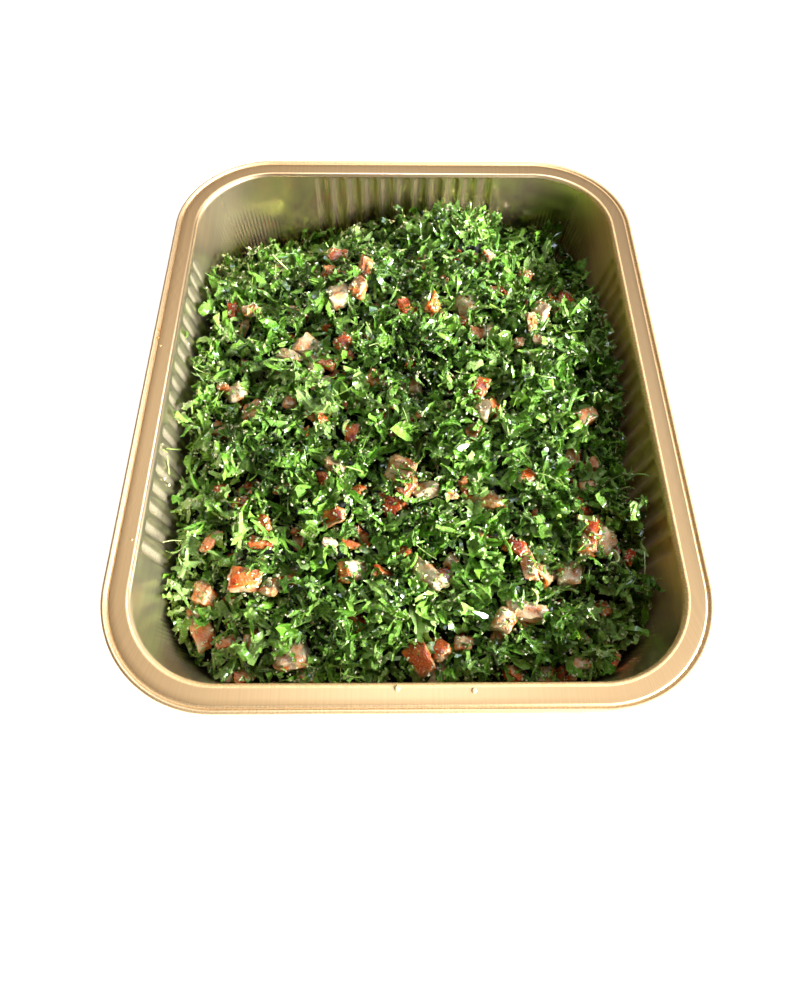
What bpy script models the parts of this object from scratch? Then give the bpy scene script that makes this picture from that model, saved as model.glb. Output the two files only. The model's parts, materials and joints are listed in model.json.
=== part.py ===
"""Tabbouleh in a pressed foil tray: the tray is one thin shell, and the salad is one heap in it.

Metres, +Z up. The origin is on the table, under the middle of the tray. The tray's long sides
run along Y, and its front end faces -Y.

Every outline round the tray is the same core rectangle, grown outwards by a radius that gives
its corners their rounding. A section of the tray is therefore a list of (radius, height) pairs,
and a ring of points is one such pair taken all the way round.
"""

import math
import random
from typing import NamedTuple

import bmesh
import bpy
from mathutils import Vector, noise
from mathutils.geometry import delaunay_2d_cdt

MM = 0.001

# The tray, outside
TRAY_WIDTH = 262 * MM
TRAY_LENGTH = 322 * MM
TRAY_HEIGHT = 65 * MM
CORNER_RADIUS = 53.5 * MM
CORE = Vector((TRAY_WIDTH / 2 - CORNER_RADIUS, TRAY_LENGTH / 2 - CORNER_RADIUS))

# Its rim: a rolled outer edge, a flat flange and a rounded mouth
CURL_RADIUS = 1.3 * MM
FOIL = CURL_RADIUS / 2  # the flange leaves the curl between 150 and 180 degrees of its round
RIM_WIDTH = 12.4 * MM
MOUTH_RADIUS = 1.8 * MM

# Its wall and floor
DRAFT = math.radians(7)
BASE_RADIUS = 8 * MM

# The pressed channels that stiffen the walls, bulging outwards
CHANNEL_PITCH = 10 * MM
CHANNEL_HALF_WIDTH = 3.9 * MM
CHANNEL_DEPTH = 1.7 * MM
CHANNEL_FOOT = 11 * MM
SIDE_CHANNELS = 18
SIDE_CHANNEL_SHIFT = -2.7 * MM  # how far the side channels sit from the middle, along Y
SIDE_CHANNEL_TOP = TRAY_HEIGHT - 4 * MM
END_CHANNELS = 11
END_CHANNEL_TOP = TRAY_HEIGHT - 2.9 * MM

# How finely round shapes are cut
CORNER_STEPS = 8
CURL_STEPS = 11
MOUTH_STEPS = 3
BASE_STEPS = 4

# The salad
GAP = 0.3 * MM
HEAP_CROWN = 49 * MM
SIDE_DROP = 6 * MM
END_DROP = 16 * MM
CORNER_DROP = 14 * MM
EDGE_DROP = 6 * MM
EDGE_REACH = 9 * MM
LEAN = 2 * MM
RISES = (  # where it is heaped up or hollow near the walls: x, y, rise, reach
    (35 * MM, 122 * MM, 9 * MM, 30 * MM),
    (-72 * MM, 132 * MM, -10 * MM, 32 * MM),
    (98 * MM, 112 * MM, -10 * MM, 28 * MM),
    (106 * MM, -38 * MM, -7 * MM, 16 * MM),
    (-108 * MM, -72 * MM, -7 * MM, 20 * MM),
    (-112 * MM, -18 * MM, 6 * MM, 14 * MM),
)
SWELL = (5 * MM, 50 * MM)  # height and size of the broad swells
LUMP = (4 * MM, 17 * MM)  # height and size of the lumps on them
FACET = 7.6 * MM
FACET_JITTER = 0.28
SEED = 11


class Station(NamedTuple):
    """A place round the tray: where a ring's radius starts, which way it points, and the channel there."""

    anchor: Vector
    outward: Vector
    is_key: bool
    channel_top: float
    off_channel: float


def arc(centre, radius, start, end, steps):
    """(radius, height) points on a round stretch of a section, with angles in degrees."""
    angles = [math.radians(start + (end - start) * k / steps) for k in range(steps + 1)]
    return [(centre[0] + radius * math.cos(a), centre[1] + radius * math.sin(a)) for a in angles]


MOUTH_CENTRE = (
    CORNER_RADIUS - RIM_WIDTH + MOUTH_RADIUS * math.cos(DRAFT),
    TRAY_HEIGHT - CURL_RADIUS + FOIL - MOUTH_RADIUS,
)
WALL_TOP = MOUTH_CENTRE[1] + MOUTH_RADIUS * math.sin(DRAFT)


def wall_radius(height, depth=0.0):
    """Radius of the wall at a height, on its inner face or at a depth below it."""
    return CORNER_RADIUS - RIM_WIDTH - (WALL_TOP - height) * math.tan(DRAFT) + depth / math.cos(DRAFT)


def base_centre():
    """Middle of the round between the floor and the wall."""
    height = FOIL + BASE_RADIUS
    return wall_radius(height) - BASE_RADIUS / math.cos(DRAFT), height


def base_round(depth, steps=BASE_STEPS):
    """The round between the floor and the wall, from the floor up, at a depth below the inner face."""
    return arc(base_centre(), BASE_RADIUS + depth, -90, -math.degrees(DRAFT), steps)


def mouth_round(depth):
    """The round from the wall over to the flange, at a depth below the inner face."""
    return arc(MOUTH_CENTRE, MOUTH_RADIUS - depth, 180 - math.degrees(DRAFT), 90, MOUTH_STEPS)


def curl():
    """The rolled edge, from under the flange round the outside to the flange's top."""
    centre = (CORNER_RADIUS - CURL_RADIUS, TRAY_HEIGHT - CURL_RADIUS)
    return arc(centre, CURL_RADIUS, -180, 150, CURL_STEPS)


def stations(side_marks):
    """Stations counter-clockwise round the tray.

    side_marks(side) lists (distance along, channel top, distance off a channel) for the places
    between the ends of a straight side; sides 0 to 3 face +X, +Y, -X and -Y.
    """
    found = []
    for side in range(4):
        turn = math.radians(90 * side)
        outward = Vector((math.cos(turn), math.sin(turn)))
        along = Vector((-math.sin(turn), math.cos(turn)))
        reach, half_length = (CORE.x, CORE.y) if side % 2 == 0 else (CORE.y, CORE.x)
        tops = (SIDE_CHANNEL_TOP, END_CHANNEL_TOP) if side % 2 == 0 else (END_CHANNEL_TOP, SIDE_CHANNEL_TOP)
        for distance, top, off in side_marks(side):
            found.append(Station(outward * reach + along * distance, outward, False, top, off))
        corner = outward * reach + along * half_length
        for step in range(CORNER_STEPS + 1):
            share = step / CORNER_STEPS
            angle = turn + math.radians(90) * share
            top = tops[0] + (tops[1] - tops[0]) * share
            direction = Vector((math.cos(angle), math.sin(angle)))
            found.append(Station(corner, direction, True, top, CHANNEL_HALF_WIDTH))
    return found


def channel_marks(side):
    """Four places across each channel of a side: its two edges, and two on its bed."""
    count, top = (SIDE_CHANNELS, SIDE_CHANNEL_TOP) if side % 2 == 0 else (END_CHANNELS, END_CHANNEL_TOP)
    shift = (SIDE_CHANNEL_SHIFT, 0.0, -SIDE_CHANNEL_SHIFT, 0.0)[side]
    marks = []
    for channel in range(count):
        middle = (channel - (count - 1) / 2) * CHANNEL_PITCH + shift
        for across in (-1, -0.36, 0.36, 1):
            off = across * CHANNEL_HALF_WIDTH
            marks.append((middle + off, top, abs(off)))
    return marks


def even_marks(side):
    """Evenly spaced places along a side, about a facet apart."""
    half_length = CORE.y if side % 2 == 0 else CORE.x
    count = round(2 * half_length / FACET)
    return [(half_length * (2 * k / count - 1), 0.0, 0.0) for k in range(1, count)]


def channel_depth(station, height):
    """How far the wall is pressed out: a round-ended trough with a curved bed."""
    top = station.channel_top - CHANNEL_HALF_WIDTH
    foot = CHANNEL_FOOT + CHANNEL_HALF_WIDTH
    beyond = max(height - top, foot - height, 0.0)
    share = math.hypot(station.off_channel, beyond) / CHANNEL_HALF_WIDTH
    return CHANNEL_DEPTH * max(0.0, 1 - share**2)


def point(station, radius, height):
    """A point in space at a station."""
    flat = station.anchor + station.outward * radius
    return Vector((flat.x, flat.y, height))


def plain_ring(mesh, places, radius, height):
    """A ring through the key stations only, as {station number: vertex}."""
    keys = [k for k, station in enumerate(places) if station.is_key]
    return {k: mesh.verts.new(point(places[k], radius, height)) for k in keys}


def wall_ring(mesh, places, depth, height_of):
    """A ring through every station on the channelled wall, at a depth below its inner face."""
    ring = {}
    for number, station in enumerate(places):
        height = height_of(station)
        pressed = channel_depth(station, height)
        radius = wall_radius(height, depth + pressed)
        ring[number] = mesh.verts.new(point(station, radius, height))
    return ring


def wall_rings(mesh, places, depth):
    """The rings of one face of the wall, from the channels' feet to their tops."""
    half = CHANNEL_HALF_WIDTH
    heights = (
        lambda s: CHANNEL_FOOT,
        lambda s: CHANNEL_FOOT + half,
        lambda s: s.channel_top - half,
        lambda s: s.channel_top - 0.3 * half,
        lambda s: s.channel_top,
    )
    return [wall_ring(mesh, places, depth, height_of) for height_of in heights]


def bridge(mesh, lower, upper):
    """Faces between two rings, one for each stretch between stations that both rings have."""
    shared = sorted(set(lower) & set(upper))
    for start, end in zip(shared, shared[1:] + shared[:1]):
        inside = (lambda k: start <= k <= end) if start < end else (lambda k: k >= start or k <= end)
        turn = (lambda k: k) if start < end else (lambda k: (k < start, k))
        near = [lower[k] for k in sorted(filter(inside, lower), key=turn)]
        far = [upper[k] for k in sorted(filter(inside, upper), key=turn, reverse=True)]
        mesh.faces.new(near + far)


def sheet_face(mesh, places, depth):
    """Rings over one face of the foil, from the edge of the floor up the wall to the flange."""
    base = [plain_ring(mesh, places, *pair) for pair in base_round(depth)]
    mouth = [plain_ring(mesh, places, *pair) for pair in mouth_round(depth)]
    return base + wall_rings(mesh, places, depth) + mouth


def finish(mesh, name, material):
    """Turn a closed bmesh into a smooth-shaded object."""
    bmesh.ops.recalc_face_normals(mesh, faces=mesh.faces)
    data = bpy.data.meshes.new(name)
    mesh.to_mesh(data)
    mesh.free()
    data.materials.append(material)
    data.shade_smooth()
    data.set_sharp_from_angle(angle=math.radians(40))
    thing = bpy.data.objects.new(name, data)
    bpy.context.scene.collection.objects.link(thing)
    return thing


def foil_tray(material):
    """The tray: floor, channelled walls, flange and rolled edge in one closed thin shell."""
    mesh = bmesh.new()
    places = stations(channel_marks)
    inside = sheet_face(mesh, places, 0.0)
    outside = sheet_face(mesh, places, FOIL)
    edge = [plain_ring(mesh, places, *pair) for pair in curl()]
    rings = inside + edge[::-1] + outside[::-1]
    for lower, upper in zip(rings, rings[1:]):
        bridge(mesh, lower, upper)
    mesh.faces.new(inside[0].values())
    mesh.faces.new(outside[0].values())
    return finish(mesh, "foil_tray", material)


def from_wall(x, y, radius):
    """Distance inwards from the outline of a given radius to a place over the floor."""
    beyond = Vector((abs(x) - CORE.x, abs(y) - CORE.y))
    if beyond.x > 0 and beyond.y > 0:
        return radius - beyond.length
    return radius - max(beyond.x, beyond.y)


def heap_height(x, y):
    """Height of the salad's uneven surface: a low mound that drops to the walls and the corners."""
    across = x / (CORE.x + wall_radius(HEAP_CROWN))
    along = y / (CORE.y + wall_radius(HEAP_CROWN))
    side, end = min(abs(across), 1.0) ** 3, min(abs(along), 1.0) ** 3
    mound = HEAP_CROWN + LEAN * across - SIDE_DROP * side - END_DROP * end - CORNER_DROP * side * end
    edge = EDGE_DROP * math.exp(-max(from_wall(x, y, wall_radius(HEAP_CROWN)), 0.0) / EDGE_REACH)
    rises = sum(
        rise * math.exp(-((x - at_x) ** 2 + (y - at_y) ** 2) / reach**2) for at_x, at_y, rise, reach in RISES
    )
    bumps = sum(high * noise.noise(Vector((x / size, y / size, high / MM))) for high, size in (SWELL, LUMP))
    return mound + rises - edge + bumps


def heap_cap(rim):
    """Triangles of the heap's top as (points, faces): its rim, and jittered points inside it."""
    draw = random.Random(SEED)
    flat = [p.xy for p in rim]
    row_gap = FACET * math.sqrt(3) / 2
    rows = math.ceil(TRAY_LENGTH / 2 / row_gap)
    columns = math.ceil(TRAY_WIDTH / 2 / FACET)
    for row in range(-rows, rows + 1):
        for column in range(-columns, columns + 1):
            x = (column + 0.5 * (row % 2)) * FACET + draw.uniform(-1, 1) * FACET_JITTER * FACET
            y = row * row_gap + draw.uniform(-1, 1) * FACET_JITTER * FACET
            if from_wall(x, y, wall_radius(heap_height(x, y))) > 0.75 * FACET:
                flat.append(Vector((x, y)))
    loop = [(k, (k + 1) % len(rim)) for k in range(len(rim))]
    points, _, faces, sources, _, _ = delaunay_2d_cdt(flat, loop, [], 1, 1e-7)
    heights = [rim[s[0]].z if s[0] < len(rim) else heap_height(*p) for p, s in zip(points, sources)]
    return [Vector((p.x, p.y, z)) for p, z in zip(points, heights)], faces


def salad_heap(material):
    """The salad: one solid that fills the tray to its uneven top, a little clear of the foil."""
    mesh = bmesh.new()
    places = stations(even_marks)
    rim = []
    for station in places:
        near = point(station, wall_radius(HEAP_CROWN), 0.0)
        height = heap_height(near.x, near.y)
        rim.append(point(station, wall_radius(height, -GAP), height))
    layers = [[point(s, *pair) for s in places] for pair in base_round(-GAP, steps=3)] + [rim]
    rings = [[mesh.verts.new(p) for p in layer] for layer in layers]
    count = len(places)
    for lower, upper in zip(rings, rings[1:]):
        for k in range(count):
            after = (k + 1) % count
            mesh.faces.new((lower[k], lower[after], upper[after], upper[k]))
    mesh.faces.new(rings[0][::-1])
    points, faces = heap_cap(rim)
    cap = [mesh.verts.new(p) for p in points]
    for corners in faces:
        mesh.faces.new([cap[k] for k in corners])
    bmesh.ops.remove_doubles(mesh, verts=mesh.verts, dist=0.01 * MM)
    return finish(mesh, "salad_heap", material)


def surface(name, colour, metallic, roughness):
    """A Principled material; the colour is linear."""
    material = bpy.data.materials.new(name)
    material.use_nodes = True
    shader = material.node_tree.nodes["Principled BSDF"]
    shader.inputs["Base Color"].default_value = (*colour, 1.0)
    shader.inputs["Metallic"].default_value = metallic
    shader.inputs["Roughness"].default_value = roughness
    return material


def main():
    for thing in list(bpy.data.objects):
        bpy.data.objects.remove(thing, do_unlink=True)
    foil_tray(surface("gold_foil", (0.62, 0.44, 0.22), 1.0, 0.35))
    salad_heap(surface("salad", (0.07, 0.15, 0.03), 0.0, 0.45))


main()
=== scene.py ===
"""Looks of tabbouleh in a pressed gold foil tray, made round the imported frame.

The frame is in metres with +Z up, and the tray's front end faces -Y.  Each sub-assembly is a
class: the foil tray, the heap's core, the pile in which loose pieces come to rest, the kinds of
loose piece, the bits left on the foil, and the studio.  Inside the classes lengths are in
millimetres, and MM turns them to metres where a mesh is written.
"""

import json
import logging
import math
import random
from dataclasses import dataclass, field
from enum import Enum
from typing import Any, Iterator, Sequence

import bmesh
import bpy
import numpy as np
from mathutils import Matrix, Vector, noise
from mathutils.bvhtree import BVHTree

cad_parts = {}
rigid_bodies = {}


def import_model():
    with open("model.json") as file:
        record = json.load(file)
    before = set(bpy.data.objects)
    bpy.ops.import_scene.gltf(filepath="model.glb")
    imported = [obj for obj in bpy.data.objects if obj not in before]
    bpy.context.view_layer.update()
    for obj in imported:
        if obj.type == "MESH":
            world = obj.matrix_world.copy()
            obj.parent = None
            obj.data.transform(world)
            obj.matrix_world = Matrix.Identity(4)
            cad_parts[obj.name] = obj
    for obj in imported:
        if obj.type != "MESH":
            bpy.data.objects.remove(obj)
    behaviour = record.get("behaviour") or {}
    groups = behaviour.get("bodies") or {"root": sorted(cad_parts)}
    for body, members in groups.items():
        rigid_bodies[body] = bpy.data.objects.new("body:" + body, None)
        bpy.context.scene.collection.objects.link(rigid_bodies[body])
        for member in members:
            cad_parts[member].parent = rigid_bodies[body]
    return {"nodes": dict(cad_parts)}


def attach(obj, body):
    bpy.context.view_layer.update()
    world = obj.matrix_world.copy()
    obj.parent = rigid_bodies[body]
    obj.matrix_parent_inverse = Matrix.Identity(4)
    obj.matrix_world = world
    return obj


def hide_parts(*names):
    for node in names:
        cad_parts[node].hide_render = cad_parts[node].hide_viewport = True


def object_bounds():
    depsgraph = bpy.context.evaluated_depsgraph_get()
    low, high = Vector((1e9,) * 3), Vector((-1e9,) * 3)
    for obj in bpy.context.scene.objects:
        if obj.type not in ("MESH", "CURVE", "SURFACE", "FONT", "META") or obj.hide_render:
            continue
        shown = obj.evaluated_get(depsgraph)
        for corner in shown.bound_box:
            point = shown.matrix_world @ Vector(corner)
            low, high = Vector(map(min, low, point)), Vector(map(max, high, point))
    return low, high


MM = 0.001
LOG = logging.getLogger("tabbouleh")

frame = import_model()
CAD_BOX = [list(corner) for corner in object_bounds()]


# ---------------------------------------------------------------- small helpers


def linear(code: str) -> tuple[float, float, float, float]:
    """Turn an sRGB hex colour into the linear colour that shaders take.

    Args:
        code: six hex digits, such as "f4d9a6".

    Returns:
        Linear red, green, blue, and an alpha of 1.
    """
    shares = [int(code[k : k + 2], 16) / 255 for k in (0, 2, 4)]
    red, green, blue = (s / 12.92 if s <= 0.04045 else ((s + 0.055) / 1.055) ** 2.4 for s in shares)
    return red, green, blue, 1.0


def fill(node: bpy.types.Node, inputs: dict) -> None:
    """Set or link a node's inputs: for each name or number, a value or an output socket."""
    for key, value in inputs.items():
        if isinstance(value, bpy.types.NodeSocket):
            node.id_data.links.new(value, node.inputs[key])
        else:
            node.inputs[key].default_value = value


def add_node(tree: bpy.types.NodeTree, kind: str, inputs: dict | None = None, **settings: Any) -> bpy.types.Node:
    """Add a node with its settings and links.

    Args:
        tree: the tree that takes the node.
        kind: the node's type name.
        inputs: for each input's name or number, a value, or an output socket to link from.
        settings: the node's own properties.

    Returns:
        The new node.
    """
    node = tree.nodes.new(kind)
    for name, value in settings.items():
        setattr(node, name, value)
    fill(node, inputs or {})
    return node


def new_finish(name: str) -> tuple[bpy.types.Material, bpy.types.NodeTree, bpy.types.Node]:
    """Start a material, and return it with its tree and its shader."""
    made = bpy.data.materials.new(name)
    made.use_nodes = True
    return made, made.node_tree, made.node_tree.nodes["Principled BSDF"]


def mark_of(tree: bpy.types.NodeTree, name: str) -> bpy.types.NodeSocket:
    """A mesh attribute's value."""
    return add_node(tree, "ShaderNodeAttribute", attribute_name=name).outputs["Fac"]


def noise_of(
    tree: bpy.types.NodeTree, place: bpy.types.NodeSocket, size_mm: float, detail: float = 3.0, roughness: float = 0.5
) -> bpy.types.NodeSocket:
    """Noise whose features have a size in millimetres."""
    inputs = {"Vector": place, "Scale": 1 / (size_mm * MM), "Detail": detail, "Roughness": roughness}
    return add_node(tree, "ShaderNodeTexNoise", inputs).outputs["Fac"]


def worked(tree: bpy.types.NodeTree, operation: str, *values: Any) -> bpy.types.NodeSocket:
    """The result of a sum on values or sockets."""
    return add_node(tree, "ShaderNodeMath", dict(enumerate(values)), operation=operation).outputs[0]


def ranged(
    tree: bpy.types.NodeTree, value: bpy.types.NodeSocket, low: float, high: float, to_low: float, to_high: float
) -> bpy.types.NodeSocket:
    """A value carried from one range to another and held within it."""
    inputs = {"Value": value, "From Min": low, "From Max": high, "To Min": to_low, "To Max": to_high}
    return add_node(tree, "ShaderNodeMapRange", inputs).outputs[0]


def blended(tree: bpy.types.NodeTree, share: bpy.types.NodeSocket, first: Any, second: Any) -> bpy.types.NodeSocket:
    """Two colours mixed by a share."""
    return add_node(tree, "ShaderNodeMix", {0: share, 6: first, 7: second}, data_type="RGBA").outputs[2]


def bumped(
    tree: bpy.types.NodeTree,
    height: bpy.types.NodeSocket,
    strength: float,
    relief_mm: float,
    under: bpy.types.NodeSocket | None = None,
) -> bpy.types.NodeSocket:
    """A normal in relief, over another one if it is given."""
    inputs = {"Height": height, "Strength": strength, "Distance": relief_mm * MM}
    if under is not None:
        inputs["Normal"] = under
    return add_node(tree, "ShaderNodeBump", inputs).outputs[0]


def ramp(
    tree: bpy.types.NodeTree, place: bpy.types.NodeSocket, stops: Sequence[tuple[float, str]]
) -> bpy.types.NodeSocket:
    """A colour picked by place along a ramp of (place, hex colour) stops, from left to right."""
    node = add_node(tree, "ShaderNodeValToRGB", {"Fac": place})
    elements = node.color_ramp.elements
    while len(elements) < len(stops):
        elements.new(0.5)
    for element, (at, code) in zip(elements, stops):
        element.position = at
        element.color = linear(code)
    return node.outputs[0]


def new_object(name: str, mesh: bpy.types.Mesh) -> bpy.types.Object:
    """Wrap a mesh in an object at the origin, and link it into the scene."""
    thing = bpy.data.objects.new(name, mesh)
    bpy.context.scene.collection.objects.link(thing)
    return thing


def triangle_count(mesh: bpy.types.Mesh) -> int:
    """Number of triangles that a mesh's faces come to."""
    return sum(len(face.vertices) - 2 for face in mesh.polygons)


def keep_piece(piece: bpy.types.Object, node: str | None = None) -> None:
    """Hand a finished piece to the frame and report it.

    Args:
        piece: the finished object, at the origin.
        node: the CAD node that it stands for, if it stands for one.
    """
    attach(piece, "root")
    if node:
        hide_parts(node)
    LOG.info("%s: %d triangles", piece.name, triangle_count(piece.data))


# ---------------------------------------------------------------- finishes


@dataclass(frozen=True)
class GoldFoil:
    """Gold-lacquered rolled aluminium foil, 0.15 mm, pressed cold over a die.

    The clear gold lacquer tints every reflection.  The walls are painted paler and greyer, the left
    wall most, as a painted reflection of the green salad and the cool key light.  The right wall,
    in shade, is painted deeper gold as painted bounce light, and is made duller there.  The foil is
    matted where the die stretched the channels.  The back wall keeps its rolled shine.  Faint
    rolling lines run the length of the sheet.
    """

    lacquer: str = "fbd8a4"
    # Painted reflection: the paler, greyer colour of the walls, standing for the salad and key light that they
    # reflect.
    painted_wall_reflection: str = "d8c9a9"
    # Painted bounce light: the deeper gold of the right wall in shade.
    painted_bounce: str = "f0c484"
    roughness: float = 0.3
    matted: float = 0.14
    shine: float = 0.1
    metal: float = 0.95
    matted_metal: float = 0.84
    rolling_line_mm: float = 1.2
    line_run_mm: float = 220.0
    speckle_mm: float = 0.8
    painted_bounce_dullness: float = 0.2
    painted_bounce_metal_loss: float = 0.42

    def material(self) -> bpy.types.Material:
        """The finish as a material.

        Its rolling lines lie on the sheet's flat UV map in millimetres.  The mesh's attributes for
        painted wall reflection, pressing, painted bounce light and shine say where the walls are
        painted paler, where the foil is matted, where it is painted deeper gold and duller, and where
        it is bright as rolled.
        """
        made, tree, shader = new_finish("gold_lacquered_foil")
        sheet = add_node(tree, "ShaderNodeUVMap", uv_map="sheet").outputs["UV"]
        line_scale = (1 / self.rolling_line_mm, 1 / self.line_run_mm, 1.0)
        lines_at = add_node(tree, "ShaderNodeMapping", {"Vector": sheet, "Scale": line_scale}).outputs[0]
        lines = add_node(tree, "ShaderNodeTexNoise", {"Vector": lines_at, "Scale": 1.0, "Detail": 2.0}).outputs["Fac"]
        where = add_node(tree, "ShaderNodeTexCoord").outputs["Object"]
        speckle = noise_of(tree, where, self.speckle_mm, 2.0)
        painted_wall_reflection, pressed, painted_bounce, shiny = (mark_of(tree, name) for name in ("painted_wall_reflection", "pressed", "painted_bounce", "shiny"))
        # Painted reflection on the walls, then painted bounce light deepening the right wall's gold.
        tint_and_painted_light = blended(tree, painted_wall_reflection, linear(self.lacquer), linear(self.painted_wall_reflection))
        deep = blended(tree, painted_bounce, tint_and_painted_light, linear(self.painted_bounce))
        streak = ranged(tree, lines, 0.3, 0.7, 0.93, 1.03)
        fleck = ranged(tree, speckle, 0.35, 0.65, -0.2, 0.1)
        value = worked(tree, "MULTIPLY_ADD", fleck, pressed, streak)
        dull = ranged(tree, painted_bounce, 0.0, 1.0, self.roughness, self.roughness + self.painted_bounce_dullness)
        matt = worked(tree, "MULTIPLY_ADD", pressed, self.matted, dull)
        clear = ranged(tree, pressed, 0.0, 1.0, self.metal, self.matted_metal)
        colour = add_node(tree, "ShaderNodeHueSaturation", {"Color": deep, "Value": value})
        inputs = {
            "Base Color": colour.outputs[0],
            "Roughness": worked(tree, "MULTIPLY_ADD", shiny, -self.shine, matt),
            "Metallic": worked(tree, "MULTIPLY_ADD", painted_bounce, -self.painted_bounce_metal_loss, clear),
            "Normal": bumped(tree, lines, 0.1, 0.05),
        }
        fill(shader, inputs)
        return made


@dataclass(frozen=True)
class ParsleyLeaf:
    """Fresh flat-leaf parsley, knife-cut and wet with oil and lemon juice.

    The cuticle is waxy and the dressing lies on it as a film, so the dark green leaf carries small
    cold highlights; its underside is matt, paler and greyer.
    """

    name: str
    shades: tuple[tuple[float, str], ...]
    underside: str = "88b24e"
    roughness: float = 0.36
    gloss: float = 0.2
    wet: float = 1.0
    glow: float = 0.12
    vein_mm: float = 1.3
    mottle_mm: float = 1.4
    mottling: float = 0.44
    paler_under: float = 0.42
    crinkle_mm: float = 1.0
    fold_mm: float = 3.2

    def material(self) -> bpy.types.Material:
        """The finish as a material; it reads each piece's tone, side and leaf UV map."""
        made, tree, shader = new_finish(self.name)
        tone, side = mark_of(tree, "tone"), mark_of(tree, "under")
        where = add_node(tree, "ShaderNodeTexCoord").outputs["Object"]
        drift = worked(tree, "MULTIPLY_ADD", noise_of(tree, where, self.mottle_mm), self.mottling, tone)
        shade = ramp(tree, worked(tree, "SUBTRACT", drift, self.mottling / 2), self.shades)
        leaf = add_node(tree, "ShaderNodeUVMap", uv_map="leaf").outputs["UV"]
        place = add_node(tree, "ShaderNodeSeparateXYZ", {"Vector": leaf})
        from_rib = worked(tree, "ABSOLUTE", place.outputs["Y"])
        slant = worked(tree, "MULTIPLY_ADD", from_rib, -0.9, place.outputs["X"])
        veins_at = add_node(tree, "ShaderNodeCombineXYZ", {"X": slant}).outputs[0]
        veins = add_node(tree, "ShaderNodeTexWave", {"Vector": veins_at, "Scale": 0.314 / self.vein_mm})
        side_veins = ranged(tree, veins.outputs["Fac"], 0.7, 1.0, 0.0, 0.4)
        rib = ranged(tree, from_rib, 0.1, 0.4, 0.6, 0.0)
        veined = blended(tree, worked(tree, "MAXIMUM", rib, side_veins), shade, linear(self.underside))
        folded = bumped(tree, noise_of(tree, where, self.fold_mm, 1.0), 0.8, 1.6)
        crinkle = noise_of(tree, where, self.crinkle_mm, 3.0, 0.65)
        inputs = {
            "Base Color": blended(
                tree, worked(tree, "MULTIPLY", side, self.paler_under), veined, linear(self.underside)
            ),
            "Normal": bumped(tree, crinkle, 1.0, 0.8, folded),
            "Roughness": self.roughness,
            "Specular IOR Level": self.gloss,
            "Subsurface Weight": self.glow,
            "Subsurface Radius": (0.5, 1.0, 0.1),
            "Subsurface Scale": 0.6 * MM,
            "Coat Weight": self.wet,
            "Coat Roughness": 0.16,
        }
        fill(shader, inputs)
        return made


@dataclass(frozen=True)
class CutFlesh:
    """Raw cut tomato and onion: wet translucent flesh, with a thin glossy skin on some sides."""

    name: str
    shades: tuple[tuple[float, str], ...]
    skins: tuple[tuple[float, str], ...]
    froth: str = "c9b98f"
    roughness: float = 0.26
    depth_mm: float = 1.8
    soft: float = 0.5
    pulp_mm: float = 5.0
    pulp_contrast: float = 2.0
    pulp_middle: float = 0.98
    froth_mm: float = 0.9

    def material(self) -> bpy.types.Material:
        """The finish as a material; it reads each piece's tone and its skin attribute."""
        made, tree, shader = new_finish(self.name)
        tone, skin = mark_of(tree, "tone"), mark_of(tree, "skin")
        where = add_node(tree, "ShaderNodeTexCoord").outputs["Object"]
        drift = worked(tree, "MULTIPLY_ADD", noise_of(tree, where, self.pulp_mm), self.pulp_contrast, tone)
        shade_at = worked(tree, "SUBTRACT", drift, self.pulp_middle)
        colour = blended(tree, skin, ramp(tree, shade_at, self.shades), ramp(tree, shade_at, self.skins))
        fine = noise_of(tree, where, self.froth_mm)
        inputs = {
            "Base Color": blended(tree, ranged(tree, fine, 0.56, 0.72, 0.0, 0.55), colour, linear(self.froth)),
            "Normal": bumped(tree, fine, 0.8, 0.6),
            "Roughness": self.roughness,
            "Subsurface Weight": self.soft,
            "Subsurface Radius": (1.0, 0.65, 0.4),
            "Subsurface Scale": self.depth_mm * MM,
            "Coat Weight": 0.45,
            "Coat Roughness": 0.1,
        }
        fill(shader, inputs)
        return made


@dataclass(frozen=True)
class PlainFinish:
    """A matt or wet finish whose colour drifts between a few shades from piece to piece."""

    name: str
    shades: tuple[tuple[float, str], ...]
    roughness: float
    grain_mm: float
    relief_mm: float
    wet: float = 0.0
    mottling: float = 0.4

    def material(self) -> bpy.types.Material:
        """The finish as a material; tone picks the shade, and noise at the grain's size mottles it."""
        made, tree, shader = new_finish(self.name)
        where = add_node(tree, "ShaderNodeTexCoord").outputs["Object"]
        grain = noise_of(tree, where, self.grain_mm)
        drift = worked(tree, "MULTIPLY_ADD", grain, self.mottling, mark_of(tree, "tone"))
        inputs = {
            "Base Color": ramp(tree, worked(tree, "SUBTRACT", drift, self.mottling / 2), self.shades),
            "Normal": bumped(tree, grain, 0.5, self.relief_mm),
            "Roughness": self.roughness,
            "Coat Weight": self.wet,
            "Coat Roughness": 0.15,
        }
        fill(shader, inputs)
        return made


LEAF = ParsleyLeaf(
    "wet_parsley_leaf",
    ((0.0, "091900"), (0.28, "254b02"), (0.52, "528c10"), (0.76, "749e2e"), (1.0, "8ea862")),
)
STEM = PlainFinish(
    "parsley_stem",
    ((0.0, "56781f"), (0.5, "86a540"), (1.0, "c2d088")),
    roughness=0.35,
    grain_mm=1.5,
    relief_mm=0.1,
    wet=0.3,
)
BULGUR = PlainFinish(
    "soaked_bulgur",
    ((0.0, "9a996a"), (0.5, "bfbc8e"), (1.0, "dcd8b6")),
    roughness=0.5,
    grain_mm=0.5,
    relief_mm=0.08,
    wet=0.1,
)
ONION = CutFlesh(
    "spring_onion",
    ((0.0, "e9efb8"), (0.5, "cfe08c"), (1.0, "a9c95a")),
    skins=((0.0, "b4cf55"), (0.5, "93bb35"), (1.0, "6f9c22")),
    froth="eef3cf",
)
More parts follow.
